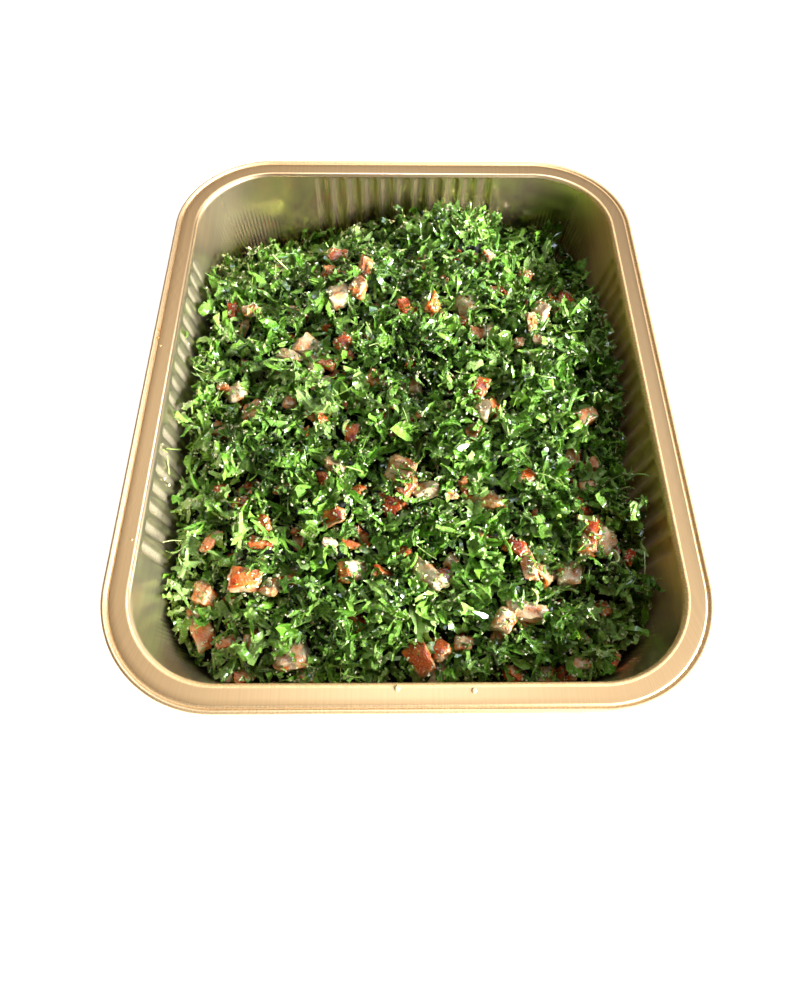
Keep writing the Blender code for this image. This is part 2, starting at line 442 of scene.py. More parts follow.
TOMATO = CutFlesh(
    "raw_tomato",
    ((0.0, "cfbf98"), (0.25, "ceaa7e"), (0.48, "ca8c56"), (0.72, "c3662c"), (1.0, "9c340b")),
    skins=((0.0, "cf8434"), (0.5, "c85615"), (1.0, "a02c08")),
)
DRESSING = PlainFinish(
    "oil_and_lemon",
    ((0.0, "b4661a"), (0.5, "cc9650"), (1.0, "e2c48c")),
    roughness=0.08,
    grain_mm=1.5,
    relief_mm=0.01,
    wet=1.0,
)
# Chopped fines for the heap's core, partly their own dark green and partly painted shade: near black, so the gaps
# between loose pieces read as shadow.
FINES_AND_PAINTED_SHADE = PlainFinish(
    "fines_and_painted_shade",
    ((0.0, "070f01"), (0.5, "101f03"), (1.0, "1e3605")),
    roughness=0.7,
    grain_mm=1.2,
    relief_mm=0.5,
)


# ---------------------------------------------------------------- the tray


@dataclass(frozen=True)
class TrayShape:
    """The pressed tray's sizes in millimetres, the same as the frame's solid.

    Every outline is one core rectangle grown outwards by a radius, so a section of the tray is a
    list of radius and height pairs.
    """

    width: float
    length: float
    height: float
    corner_radius: float = 53.5
    curl_radius: float = 1.3
    foil: float = 0.65
    rim_width: float = 12.4
    mouth_radius: float = 1.8
    draft: float = math.radians(7)
    base_radius: float = 8.0

    @property
    def core(self) -> np.ndarray:
        """Half sizes of the core rectangle."""
        return np.array([self.width / 2 - self.corner_radius, self.length / 2 - self.corner_radius])

    @property
    def flange_height(self) -> float:
        """Height of the flange's top."""
        return self.height - self.curl_radius + self.foil

    @property
    def mouth_centre(self) -> tuple[float, float]:
        """Middle of the round between the wall and the flange, as radius and height."""
        radius = self.corner_radius - self.rim_width + self.mouth_radius * math.cos(self.draft)
        return radius, self.flange_height - self.mouth_radius

    def wall_radius(self, height: Any, depth: Any = 0.0) -> Any:
        """Radius of the wall at a height, on its inner face or at a depth below it."""
        wall_top = self.mouth_centre[1] + self.mouth_radius * math.sin(self.draft)
        slope = (wall_top - height) * math.tan(self.draft)
        return self.corner_radius - self.rim_width - slope + depth / math.cos(self.draft)

    def sides(self) -> Iterator[tuple[float, np.ndarray, np.ndarray, float, float]]:
        """The four sides, counter-clockwise from +X.

        Yields:
            The side's turn in radians, its outward and its running direction, how far out its
            corner centres lie, and half the distance between them.
        """
        for side in range(4):
            turn = math.radians(90 * side)
            outward = np.array([math.cos(turn), math.sin(turn)])
            along = np.array([-math.sin(turn), math.cos(turn)])
            reach, half = self.core if side % 2 == 0 else self.core[::-1]
            yield turn, outward, along, reach, half

    def room(self, x: np.ndarray, y: np.ndarray, z: np.ndarray) -> np.ndarray:
        """Distance from places inside the tray to its wall at their own height."""
        beyond_x, beyond_y = np.abs(x) - self.core[0], np.abs(y) - self.core[1]
        corner = np.hypot(np.maximum(beyond_x, 0), np.maximum(beyond_y, 0))
        inside = np.minimum(np.maximum(beyond_x, beyond_y), 0)
        return self.wall_radius(z) - corner - inside


@dataclass
class FoilTray:
    """The tray: floor, channelled walls, pleated corners, flange, groove and rolled edge."""

    shape: TrayShape
    channel_pitch: float = 10.0
    channel_half: float = 3.9
    channel_depth: float = 1.7
    channel_end: float = 0.5
    channel_shift: float = -2.7
    # For each side (+X, +Y, -X, -Y): how far its channels are matted and how strongly its wall is painted paler as
    # painted reflection; where the value is low, the wall gets painted bounce light.
    wear_and_painted_light: tuple[float, float, float, float] = (0.06, 0.4, 1.0, 0.6)
    channel_foot: float = 11.0
    side_channels: int = 18
    side_top_drop: float = 4.0
    end_channels: int = 11
    end_top_drop: float = 2.2
    corner_steps: int = 104
    pleat_pitch: float = 2.3
    pleat_depth: float = 0.38
    pleat_top_drop: float = 17.0
    sway: float = 0.22
    sway_size: float = 34.0
    anchors: np.ndarray = field(init=False)
    outwards: np.ndarray = field(init=False)
    off_channel: np.ndarray = field(init=False)
    channel_top: np.ndarray = field(init=False)
    corner_share: np.ndarray = field(init=False)
    worn_and_painted_light: np.ndarray = field(init=False)

    def __post_init__(self) -> None:
        """Lay out the stations round the tray, counter-clockwise from the +X side."""
        rows = []
        for side, (turn, outward, along, reach, half) in enumerate(self.shape.sides()):
            tops = [self.shape.height - self.side_top_drop, self.shape.height - self.end_top_drop]
            if side % 2:
                tops.reverse()
            for distance, off in self.channel_marks(side, half):
                rows.append((*(outward * reach + along * distance), *outward, off, tops[0], -1.0, self.wear_and_painted_light[side]))
            corner = outward * reach + along * half
            for step in range(self.corner_steps + 1):
                share = step / self.corner_steps
                angle = turn + math.radians(90) * share
                top = tops[0] + (tops[1] - tops[0]) * share
                wear_and_painted_light = self.wear_and_painted_light[side] + (self.wear_and_painted_light[(side + 1) % 4] - self.wear_and_painted_light[side]) * share
                rows.append((*corner, math.cos(angle), math.sin(angle), self.channel_half, top, share, wear_and_painted_light))
        table = np.array(rows)
        self.anchors, self.outwards = table[:, :2], table[:, 2:4]
        self.off_channel, self.channel_top, self.corner_share, self.worn_and_painted_light = table[:, 4:].T

    def channel_marks(self, side: int, half: float) -> list[tuple[float, float]]:
        """Places across a side's channels.

        Args:
            side: 0 to 3, for the sides that face +X, +Y, -X and -Y.
            half: half the length of the side's straight stretch.

        Returns:
            Distance along the side and distance from the nearest channel's middle, for each place.
        """
        count = self.side_channels if side % 2 == 0 else self.end_channels
        first = -(count - 1) / 2 * self.channel_pitch + (self.channel_shift, 0, -self.channel_shift, 0)[side]
        steps = (-1.0, -0.84, -0.66, -0.33, 0.0, 0.33, 0.66, 0.84, 1.0, self.channel_pitch / 2 / self.channel_half)
        marks = [(first - self.channel_pitch / 2, self.channel_pitch / 2)]
        for channel in range(count):
            middle = first + channel * self.channel_pitch
            marks += [(middle + s * self.channel_half, abs(s) * self.channel_half) for s in steps]
        return [mark for mark in marks if abs(mark[0]) < half - 0.2]

    def channel(self, height: np.ndarray, half: float, flank: float) -> np.ndarray:
        """How far into a channel each station is at its height, from 0 outside it to 1 in its bed.

        Args:
            height: the stations' heights.
            half: half the width to take for the channel.
            flank: the share of that width over which it falls to nothing.
        """
        end = half * self.channel_end
        above = np.maximum(height - self.channel_top + end, 0.0) / end
        below = np.maximum(self.channel_foot + half - height, 0.0) / half
        share = np.hypot(self.off_channel / half, np.maximum(above, below))
        rise = np.clip((1 - share) / flank, 0, 1)
        return rise * rise * (3 - 2 * rise)

    def pressed(self, height: np.ndarray) -> np.ndarray:
        """How far the wall is pressed outwards at each station, at that station's height."""
        bed = 0.82 + 0.18 * np.clip(1 - (self.off_channel / self.channel_half) ** 2, 0, 1)
        trough = self.channel_depth * self.channel(height, self.channel_half, 0.5) * bed
        arc_length = self.shape.wall_radius(40.0) * math.pi / 2
        wave = np.sin(self.corner_share * arc_length / self.pleat_pitch * 2 * math.pi)
        middle = np.clip(np.sin(self.corner_share * math.pi), 0, 1)
        crest = self.shape.height - self.pleat_top_drop - 12 * (1 - middle)
        fade = np.clip((crest - height) / 9.0, 0, 1) * np.clip((height - 4) / 6, 0, 1)
        pleat = self.pleat_depth * wave * middle**0.6 * fade * (self.corner_share >= 0)
        return trough + pleat

    def wall_heights(self, coarse: bool) -> list[np.ndarray]:
        """Heights of the rows up the channelled wall, one array over the stations for each row."""
        foot, half, top = self.channel_foot, self.channel_half, self.channel_top
        ends = (0.0, 0.35, 0.7, 1.0) if coarse else (0.0, 0.15, 0.32, 0.52, 0.75, 1.0)
        count = 9 if coarse else 13
        low = [np.full_like(top, foot + half * share) for share in ends]
        first, last = foot + half, top - half
        middle = [first + (last - first) * k / count for k in range(1, count)]
        high = [last + half * share for share in ends]
        return low + middle + high

    def sheet_rows(self, depth: float, coarse: bool) -> list[tuple[np.ndarray, np.ndarray]]:
        """Rows over one face of the foil, from the floor's edge up to the flange.

        Args:
            depth: distance below the inner face.
            coarse: whether to use fewer rows, as on the outer face.

        Returns:
            A radius array and a height array over the stations for each row.
        """
        shape, ones = self.shape, np.ones_like(self.channel_top)
        base_height = shape.foil + shape.base_radius
        base_centre = shape.wall_radius(base_height) - shape.base_radius / math.cos(shape.draft)
        rows = []
        for k in range(6):
            angle = -math.pi / 2 + (math.pi / 2 - shape.draft) * k / 5
            reach = shape.base_radius + depth
            rows.append((base_centre + reach * math.cos(angle) * ones, base_height + reach * math.sin(angle) * ones))
        for height in self.wall_heights(coarse):
            rows.append((shape.wall_radius(height, depth + self.pressed(height)), height))
        mouth_steps = 4 if coarse else 7
        for k in range(mouth_steps + 1):
            angle = math.pi - shape.draft + (math.pi / 2 - math.pi + shape.draft) * k / mouth_steps
            reach = shape.mouth_radius - depth
            centre, height = shape.mouth_centre
            rows.append((centre + reach * math.cos(angle) * ones, height + reach * math.sin(angle) * ones))
        return rows

    def rim_rows(self) -> list[tuple[float, float]]:
        """Radius and height pairs from the flange's top over the groove and round the rolled edge."""
        edge, top = self.shape.corner_radius, self.shape.flange_height
        flat = [(edge - reach, top) for reach in (10.2, 6.5, 4.0)]
        groove = flat + [(edge - 3.5, top - 0.06), (edge - 3.1, top - 0.3), (edge - 2.8, top - 0.45)]
        centre = (edge - self.shape.curl_radius, self.shape.height - self.shape.curl_radius)
        angles = [math.radians(168 - 348 * k / 15) for k in range(16)]
        return groove + [
            (centre[0] + self.shape.curl_radius * math.cos(a), centre[1] + self.shape.curl_radius * math.sin(a))
            for a in angles
        ]

    def build(self) -> bpy.types.Object:
        """Make the tray as one closed mesh, with the flat sheet's own plan as its UV map."""
        ones = np.ones_like(self.channel_top)
        inner = self.sheet_rows(0.0, coarse=False)
        rim = [(radius * ones, height * ones) for radius, height in self.rim_rows()]
        outer = self.sheet_rows(self.shape.foil, coarse=True)
        rows = inner + rim + outer[::-1]
        mouth, flat_end = len(inner) - 8, len(inner) + 2
        count = len(ones)
        points = np.zeros((len(rows), count, 3))
        plan = np.zeros((len(rows), count, 2))
        marks = {name: np.zeros((len(rows), count)) for name in ("pressed", "painted_wall_reflection", "painted_bounce", "shiny")}
        run = rows[0][0].copy()
        for number, (radius, height) in enumerate(rows):
            if number:
                run = run + np.hypot(radius - rows[number - 1][0], height - rows[number - 1][1])
            points[number, :, :2] = self.anchors + self.outwards * radius[:, None]
            points[number, :, 2] = height
            plan[number] = self.anchors + self.outwards * run[:, None]
            shiny = np.clip(self.outwards[:, 1], 0, 1) ** 3 * (number < mouth)
            bed = self.channel(height, 2.3, 0.4) * self.worn_and_painted_light * (1 - shiny) if number < mouth else 0.55
            marks["pressed"][number] = 0.0 if len(inner) <= number <= flat_end else bed
            # Painted reflection makes the walls paler by side, and painted bounce light makes the right wall deeper
            # gold.
            below = np.clip((self.shape.flange_height - height) / 1.5, 0, 1)
            marks["painted_wall_reflection"][number] = below * self.worn_and_painted_light
            marks["painted_bounce"][number] = below * np.clip(1 - 4 * self.worn_and_painted_light, 0, 1)
            marks["shiny"][number] = shiny
            # On the bead at the mouth and on the rolled edge, the mark for painted bounce light dulls the highlight
            # and also deepens the gold.
            if mouth <= number < len(inner):
                dulled = np.clip(2.5 - 2.5 * self.worn_and_painted_light, 0, 1) * (1 - np.clip(self.outwards[:, 1], 0, 1) ** 3)
                marks["pressed"][number], marks["painted_bounce"][number] = dulled, 0.8 * dulled
            if number > flat_end:
                marks["pressed"][number], marks["painted_bounce"][number] = 0.9 - 0.35 * self.worn_and_painted_light, 0.4 - 0.4 * self.worn_and_painted_light
        flat = self.swayed(points).reshape(-1, 3) * MM
        faces = []
        for row in range(len(rows) - 1):
            for k in range(count):
                after = (k + 1) % count
                low, high = row * count, (row + 1) * count
                faces.append((low + k, high + k, high + after, low + after))
        last = (len(rows) - 1) * count
        faces.append(tuple(range(count)))
        faces.append(tuple(last + k for k in reversed(range(count))))
        mesh = bpy.data.meshes.new("foil_tray_fine")
        mesh.from_pydata(flat.tolist(), [], faces)
        for name, values in marks.items():
            mesh.attributes.new(name, "FLOAT", "POINT").data.foreach_set("value", values.ravel())
        uv = mesh.uv_layers.new(name="sheet")
        corners = np.zeros(len(mesh.loops), np.int32)
        mesh.loops.foreach_get("vertex_index", corners)
        uv.data.foreach_set("uv", plan.reshape(-1, 2)[corners].astype(np.float32).ravel())
        mesh.shade_smooth()
        mesh.set_sharp_from_angle(angle=math.radians(50))
        return new_object("foil_tray_fine", mesh)

    def swayed(self, points: np.ndarray) -> np.ndarray:
        """The points with the slow unevenness of thin pressed foil, none at the floor or the rim."""
        moved = points.copy()
        lift = np.clip(points[..., 2] / 20, 0, 1) * np.clip((self.shape.height - points[..., 2]) / 6, 0, 1)
        for row in range(points.shape[0]):
            for k in range(points.shape[1]):
                if lift[row, k] > 0:
                    push = noise.noise(Vector(points[row, k]) / self.sway_size) * self.sway * lift[row, k]
                    moved[row, k, :2] += self.outwards[k] * push
        return moved

    def dress(self, tray: bpy.types.Object, finish: GoldFoil) -> None:
        """Give the tray its finish and hand it to the frame."""
        tray.data.materials.append(finish.material())
        keep_piece(tray, "foil_tray")


# ---------------------------------------------------------------- loose shapes


@dataclass
class LooseShape:
    """One shape of a kind of loose piece, in millimetres about its own middle.

    Args:
        points: vertices.
        faces: vertex numbers of each face, wound outwards.
        feelers: places on the shape that are tested when it comes to rest.
        marks: a value for each face, such as 1 on an underside or a skin.
        plan: flat coordinates of each vertex on the leaf, where there is a leaf.
    """

    points: np.ndarray
    faces: list[tuple[int, ...]]
    feelers: np.ndarray
    marks: list[float]
    plan: np.ndarray | None = None

    def mesh(self, name: str, mark: str) -> bpy.types.Mesh:
        """The shape as a mesh in metres, with its marks as a face attribute."""
        made = bpy.data.meshes.new(name)
        made.from_pydata((self.points * MM).tolist(), [], self.faces)
        made.shade_smooth()
        made.set_sharp_from_angle(angle=math.radians(48))
        attribute = made.attributes.new(mark, "FLOAT", "FACE")
        attribute.data.foreach_set("value", np.array(self.marks, np.float32))
        if self.plan is not None:
            uv = made.uv_layers.new(name="leaf")
            corners = np.zeros(len(made.loops), np.int32)
            made.loops.foreach_get("vertex_index", corners)
            uv.data.foreach_set("uv", self.plan[corners].astype(np.float32).ravel())
        return made


@dataclass(frozen=True)
class LeafCut:
    """How a kind of leaf fragment is cut: its rows along the vein, and its ranges in millimetres.

    A range is (least, most); a spread is the standard deviation about zero.
    """

    rows: int
    length: tuple[float, float]
    half_width: tuple[float, float]
    teeth: float
    curl: float
    bend: float
    fold: tuple[float, float]
    twist: float
    pointed: float
    ruffle: float = 0.25
    thickness: float = 0.24

    def shape(self, draw: random.Random) -> LooseShape:
        """Cut one fragment.

        Args:
            draw: the source of its random sizes.

        Returns:
            A thin closed lens whose upper and under faces meet at a sharp rim.
        """
        length = draw.uniform(*self.length)
        widest = draw.uniform(*self.half_width)
        step = length / (self.rows - 1)
        heading, pitch, roll = 0.0, 0.0, 0.0
        curl, bend, twist = (draw.gauss(0, s) for s in (self.curl, self.bend, self.twist))
        fold = math.radians(draw.uniform(*self.fold)) * draw.choice((1, 1, 1, -1))
        at = np.zeros(3)
        sheet, plan = [], []
        skew = draw.uniform(-0.5, 0.5)
        tip = draw.random() < self.pointed
        for row in range(self.rows):
            share = row / (self.rows - 1)
            level = math.cos(pitch)
            ahead = np.array([math.cos(heading) * level, math.sin(heading) * level, math.sin(pitch)])
            side = np.array([-math.sin(heading), math.cos(heading), 0.0])
            up = np.cross(ahead, side)
            across = side * math.cos(roll) + up * math.sin(roll)
            raised = up * math.cos(roll) - side * math.sin(roll)
            body = 0.7 + 0.3 * math.sin(math.pi * min(1.0, share * 0.9 + 0.12))
            if tip:
                body *= min(1.0, (1 - share) * 1.9 + 0.06)
            pair = []
            for sign in (1, -1):
                tooth = 1 - self.teeth * ((row + (sign > 0)) % 2) * draw.uniform(0.3, 1.0)
                width = widest * body * tooth * draw.uniform(0.75, 1.15)
                forward = (skew if row in (0, self.rows - 1) and not tip else 0.25) * width * sign
                lift = math.sin(fold) * width * draw.uniform(0.5, 1.5) + draw.gauss(0, self.ruffle)
                pair.append(at + across * sign * width * math.cos(fold) + raised * lift + ahead * forward * 0.6)
                plan_at = (share * length + forward * 0.6, sign * width)
                pair.append(plan_at)
            sheet.append((pair[0], at.copy(), pair[2]))
            plan.append((pair[1], (share * length, 0.0), pair[3]))
            heading += bend * step
            pitch += curl * step
            roll += twist * step
            at = at + ahead * step
        grid = np.array(sheet)
        grid = grid - grid.reshape(-1, 3).mean(axis=0)
        return self.lens(grid, np.array(plan))

    def lens(self, grid: np.ndarray, plan: np.ndarray) -> LooseShape:
        """Close a grid of rim, vein and rim points into a thin lens.

        Args:
            grid: rows by three by three coordinates.
            plan: rows by three by two flat coordinates.

        Returns:
            The shape, with its under faces marked.
        """
        rows = len(grid)
        points, flat = list(grid.reshape(-1, 3)), list(plan.reshape(-1, 2))
        upper = {row: 3 * row + 1 for row in range(rows)}
        lower = dict(upper)
        for row in range(1, rows - 1):
            along = grid[row + 1, 1] - grid[row - 1, 1]
            normal = np.cross(along, grid[row, 0] - grid[row, 2])
            normal = normal / max(np.linalg.norm(normal), 1e-6)
            points[upper[row]] = grid[row, 1] + normal * self.thickness / 2
            points.append(grid[row, 1] - normal * self.thickness / 2)
            flat.append(plan[row, 1])
            lower[row] = len(points) - 1
        faces, marks = [], []
        for row in range(rows - 1):
            left, right = (3 * row, 3 * row + 3), (3 * row + 2, 3 * row + 5)
            faces.append((upper[row], upper[row + 1], left[1], left[0]))
            faces.append((right[0], right[1], upper[row + 1], upper[row]))
            faces.append((left[0], left[1], lower[row + 1], lower[row]))
            faces.append((lower[row], lower[row + 1], right[1], right[0]))
            marks += [0.0, 0.0, 1.0, 1.0]
        left, vein, right = grid[:, 0], grid[:, 1], grid[:, 2]
        halves = np.stack([left, (left + vein) / 2, vein, (vein + right) / 2, right], 1)
        between = (halves[:-1] + halves[1:]) / 2
        feelers = np.concatenate([halves.reshape(-1, 3), between.reshape(-1, 3)])
        return LooseShape(np.array(points), faces, feelers, marks, np.array(flat))


@dataclass(frozen=True)
class StemCut:
    """How pieces of stem are cut: short bent rods with plain cut ends."""

    length: tuple[float, float]
    radius: tuple[float, float]
    bend: float
    sides: int = 5
    rings: int = 4

    def shape(self, draw: random.Random) -> LooseShape:
        """Cut one piece of stem."""
        length, radius = draw.uniform(*self.length), draw.uniform(*self.radius)
        bend, sag = draw.gauss(0, self.bend), draw.gauss(0, self.bend / 2)
        points, spine = [], []
        for ring in range(self.rings):
            share = ring / (self.rings - 1) - 0.5
            along = share * length
            middle = np.array([along, bend * along**2, sag * along**2])
            spine.append(middle)
            swell = radius * (1.0 - 0.15 * share)
            for side in range(self.sides):
                angle = 2 * math.pi * side / self.sides
                points.append(middle + np.array([0.0, math.cos(angle) * swell, math.sin(angle) * swell]))
        faces: list[tuple[int, ...]] = []
        for ring in range(self.rings - 1):
            for side in range(self.sides):
                after = (side + 1) % self.sides
                low, high = ring * self.sides, (ring + 1) * self.sides
                faces.append((low + side, high + side, high + after, low + after))
        last = (self.rings - 1) * self.sides
        faces.append(tuple(range(self.sides)))
        faces.append(tuple(last + side for side in reversed(range(self.sides))))
        faces = [tuple(reversed(face)) for face in faces]
        ends = np.array(spine)
        feelers = np.concatenate([ends, (ends[:-1] + ends[1:]) / 2, np.array(points)])
        return LooseShape(np.array(points), faces, feelers, [0.0] * len(faces))


@dataclass(frozen=True)
class RingCut:
    """How spring onion is cut across: parts of a thin-walled ring; ranges in millimetres and degrees."""

    radius: tuple[float, float]
    height: tuple[float, float]
    span: tuple[float, float]
    wall: float = 0.9
    steps: int = 9

    def shape(self, draw: random.Random) -> LooseShape:
        """Cut one part of a ring, with its outer side marked."""
        radius, height = draw.uniform(*self.radius), draw.uniform(*self.height)
        span = math.radians(draw.uniform(*self.span))
        squash = draw.uniform(0.6, 1.0)
        points = []
        inside = radius - self.wall
        for step in range(self.steps + 1):
            angle = span * (step / self.steps - 0.5)
            for reach, level in ((radius, -0.5), (radius, 0.5), (inside, 0.5), (inside, -0.5)):
                high = level * height * draw.uniform(0.9, 1.1)
                points.append((reach * math.cos(angle) * squash, reach * math.sin(angle), high))
        places = np.array(points)
        places[:, 0] -= places[:, 0].mean()
        faces: list[tuple[int, ...]] = [(0, 1, 2, 3), tuple(4 * self.steps + k for k in (3, 2, 1, 0))]
        marks = [0.0, 0.0]
        for step in range(self.steps):
            for side in range(4):
                after = (side + 1) % 4
                low, high = 4 * step, 4 * step + 4
                faces.append((low + side, high + side, high + after, low + after))
                marks.append(float(side == 0))
        return LooseShape(places, faces, places, marks)


@dataclass(frozen=True)
class GrainCut:
    """How cracked wheat grains are broken: small uneven lumps."""

    length: tuple[float, float]
    slim: tuple[float, float]

    def shape(self, draw: random.Random) -> LooseShape:
        """Break one grain."""
        mesh = bmesh.new()
        bmesh.ops.create_icosphere(mesh, subdivisions=1, radius=0.5)
        length, slim = draw.uniform(*self.length), draw.uniform(*self.slim)
        stretch = np.array([length, length * slim, length * slim * draw.uniform(0.75, 1.0)])
        points = np.array([v.co[:] for v in mesh.verts]) * stretch
        points *= np.array([[draw.uniform(0.82, 1.15)] for _ in points])
        faces = [tuple(v.index for v in face.verts) for face in mesh.faces]
        mesh.free()
        return LooseShape(points, faces, points, [0.0] * len(faces))


@dataclass(frozen=True)
class DropCut:
    """How a drop of dressing stands on the foil: a low dome on a flat foot."""

    width: float
    height: float

    def shape(self) -> LooseShape:
        """Let one drop spread."""
        mesh = bmesh.new()
        bmesh.ops.create_icosphere(mesh, subdivisions=2, radius=1.0)
        points = np.array([v.co[:] for v in mesh.verts]) * (self.width / 2, self.width / 2, self.height)
        points[:, 2] = np.maximum(points[:, 2], -0.05)
        faces = [tuple(v.index for v in face.verts) for face in mesh.faces]
        mesh.free()
        return LooseShape(points, faces, points, [0.0] * len(faces))


class Skin(Enum):
    """Which sides of a cut piece still carry the fruit's skin."""

    NONE = 0
    END = 1
    TOP = 2


@dataclass(frozen=True)
class DiceCut:
    """How tomato and onion are diced: uneven blocks, a few of them with skin on one side."""

    proportions: tuple[float, float, float]
    skin: Skin
    uneven: float = 0.16
    rough: float = 0.08
    crisp: float = 6.0
    taper: float = 0.0
    cuts: int = 7

    def shape(self, draw: random.Random) -> LooseShape:
        """Cut one block, 1 mm long, that its placing scales to size."""
        n = self.cuts
        numbers: dict[tuple[int, int, int], int] = {}
        faces: list[tuple[int, ...]] = []
        marks: list[float] = []
        for axis in range(3):
            for end in (0, n):
                for a in range(n):
                    for b in range(n):
                        corners = []
                        for da, db in ((0, 0), (1, 0), (1, 1), (0, 1)):
                            cell = [0, 0, 0]
                            cell[axis], cell[(axis + 1) % 3], cell[(axis + 2) % 3] = end, a + da, b + db
                            corners.append(numbers.setdefault(tuple(cell), len(numbers)))
                        faces.append(tuple(corners if end else reversed(corners)))
                        skinned = (self.skin is Skin.END and axis == 0 and end == 0) or (
                            self.skin is Skin.TOP and axis == 2 and end == n
                        )
                        marks.append(float(skinned))
        unit = np.array(list(numbers)) / n * 2 - 1
        nudges = np.array([[draw.gauss(0, self.uneven) for _ in range(3)] for _ in range(8)])
        points = unit / (np.abs(unit) ** self.crisp).sum(axis=1, keepdims=True) ** (1 / self.crisp)
        for corner in range(8):
            signs = np.array([1 if corner >> bit & 1 else -1 for bit in range(3)])
            points = points + ((1 + signs * unit) / 2).prod(axis=1, keepdims=True) * nudges[corner]
        points[:, 1:] *= 1 + self.taper * unit[:, :1]
        if self.skin is Skin.TOP:
            points[:, 2] += 0.25 * (1 - unit[:, 0] ** 2) * (unit[:, 2] > 0.9)
        if self.skin is Skin.END:
            points[:, 0] -= 0.15 * (1 - unit[:, 1] ** 2) * (unit[:, 0] < -0.9)
        offset = Vector((draw.uniform(-50, 50), draw.uniform(-50, 50), draw.uniform(-50, 50)))
        for place in range(len(points)):
            at = Vector(points[place])
            bump = sum(noise.noise(at * f + offset) * a for f, a in ((1.7, 2.4), (4, 1.2), (9, 0.7)))
            points[place] *= 1 + self.rough * bump
        points = points * np.array(self.proportions) / 2
        return LooseShape(points, faces, points, marks)


# ---------------------------------------------------------------- the pile


@dataclass
class Resting:
    """Where the pieces of one kind have come to rest, as rows that grow while the pile is made."""

    places: list[np.ndarray] = field(default_factory=list)
    turns: list[np.ndarray] = field(default_factory=list)
    sizes: list[np.ndarray] = field(default_factory=list)
    shapes: list[int] = field(default_factory=list)
    tones: list[float] = field(default_factory=list)

    def add(self, place: np.ndarray, turn: np.ndarray, size: np.ndarray, shape: int, tone: float) -> None:
        """Note one piece; its place is in millimetres and its turn is XYZ Euler in radians."""
        self.places.append(place)
        self.turns.append(turn)
        self.sizes.append(size)
        self.shapes.append(shape)
        self.tones.append(tone)


def turn_matrix(turn: np.ndarray) -> np.ndarray:
    """Rotation matrix of an XYZ Euler turn in radians."""
    (cx, cy, cz), (sx, sy, sz) = np.cos(turn), np.sin(turn)
    return np.array(
        [
            [cy * cz, sx * sy * cz - cx * sz, cx * sy * cz + sx * sz],
            [cy * sz, sx * sy * sz + cx * cz, cx * sy * sz - sx * cz],
            [-sy, sx * cy, cx * cy],
        ]
    )


@dataclass
class Kind:
    """A kind of loose piece: its shapes, how it lies, and what has come to rest so far."""

    name: str
    slot: str
    finish: Any
    shapes: list[LooseShape]
    tilt: float = 0.5
    grip: float = 0.8
    tone: tuple[float, float] = (0.46, 0.25)
    tinted: float = 1.0
    scale: tuple[float, float] = (0.8, 1.2)
    mark: str = "under"
    resting: Resting = field(default_factory=Resting)


# Painted glow of light through the leaves, as patches of lighter, yellower herbs: x, y and radius in millimetres, and
# what it adds to tones
PAINTED_GLOW_PATCHES = (
    (-92, -92, 26, 0.26),
    (-60, -112, 16, 0.12),
    (-88, 100, 14, 0.22),
    (-66, 20, 22, 0.14),
    (-50, 122, 16, 0.12),
)


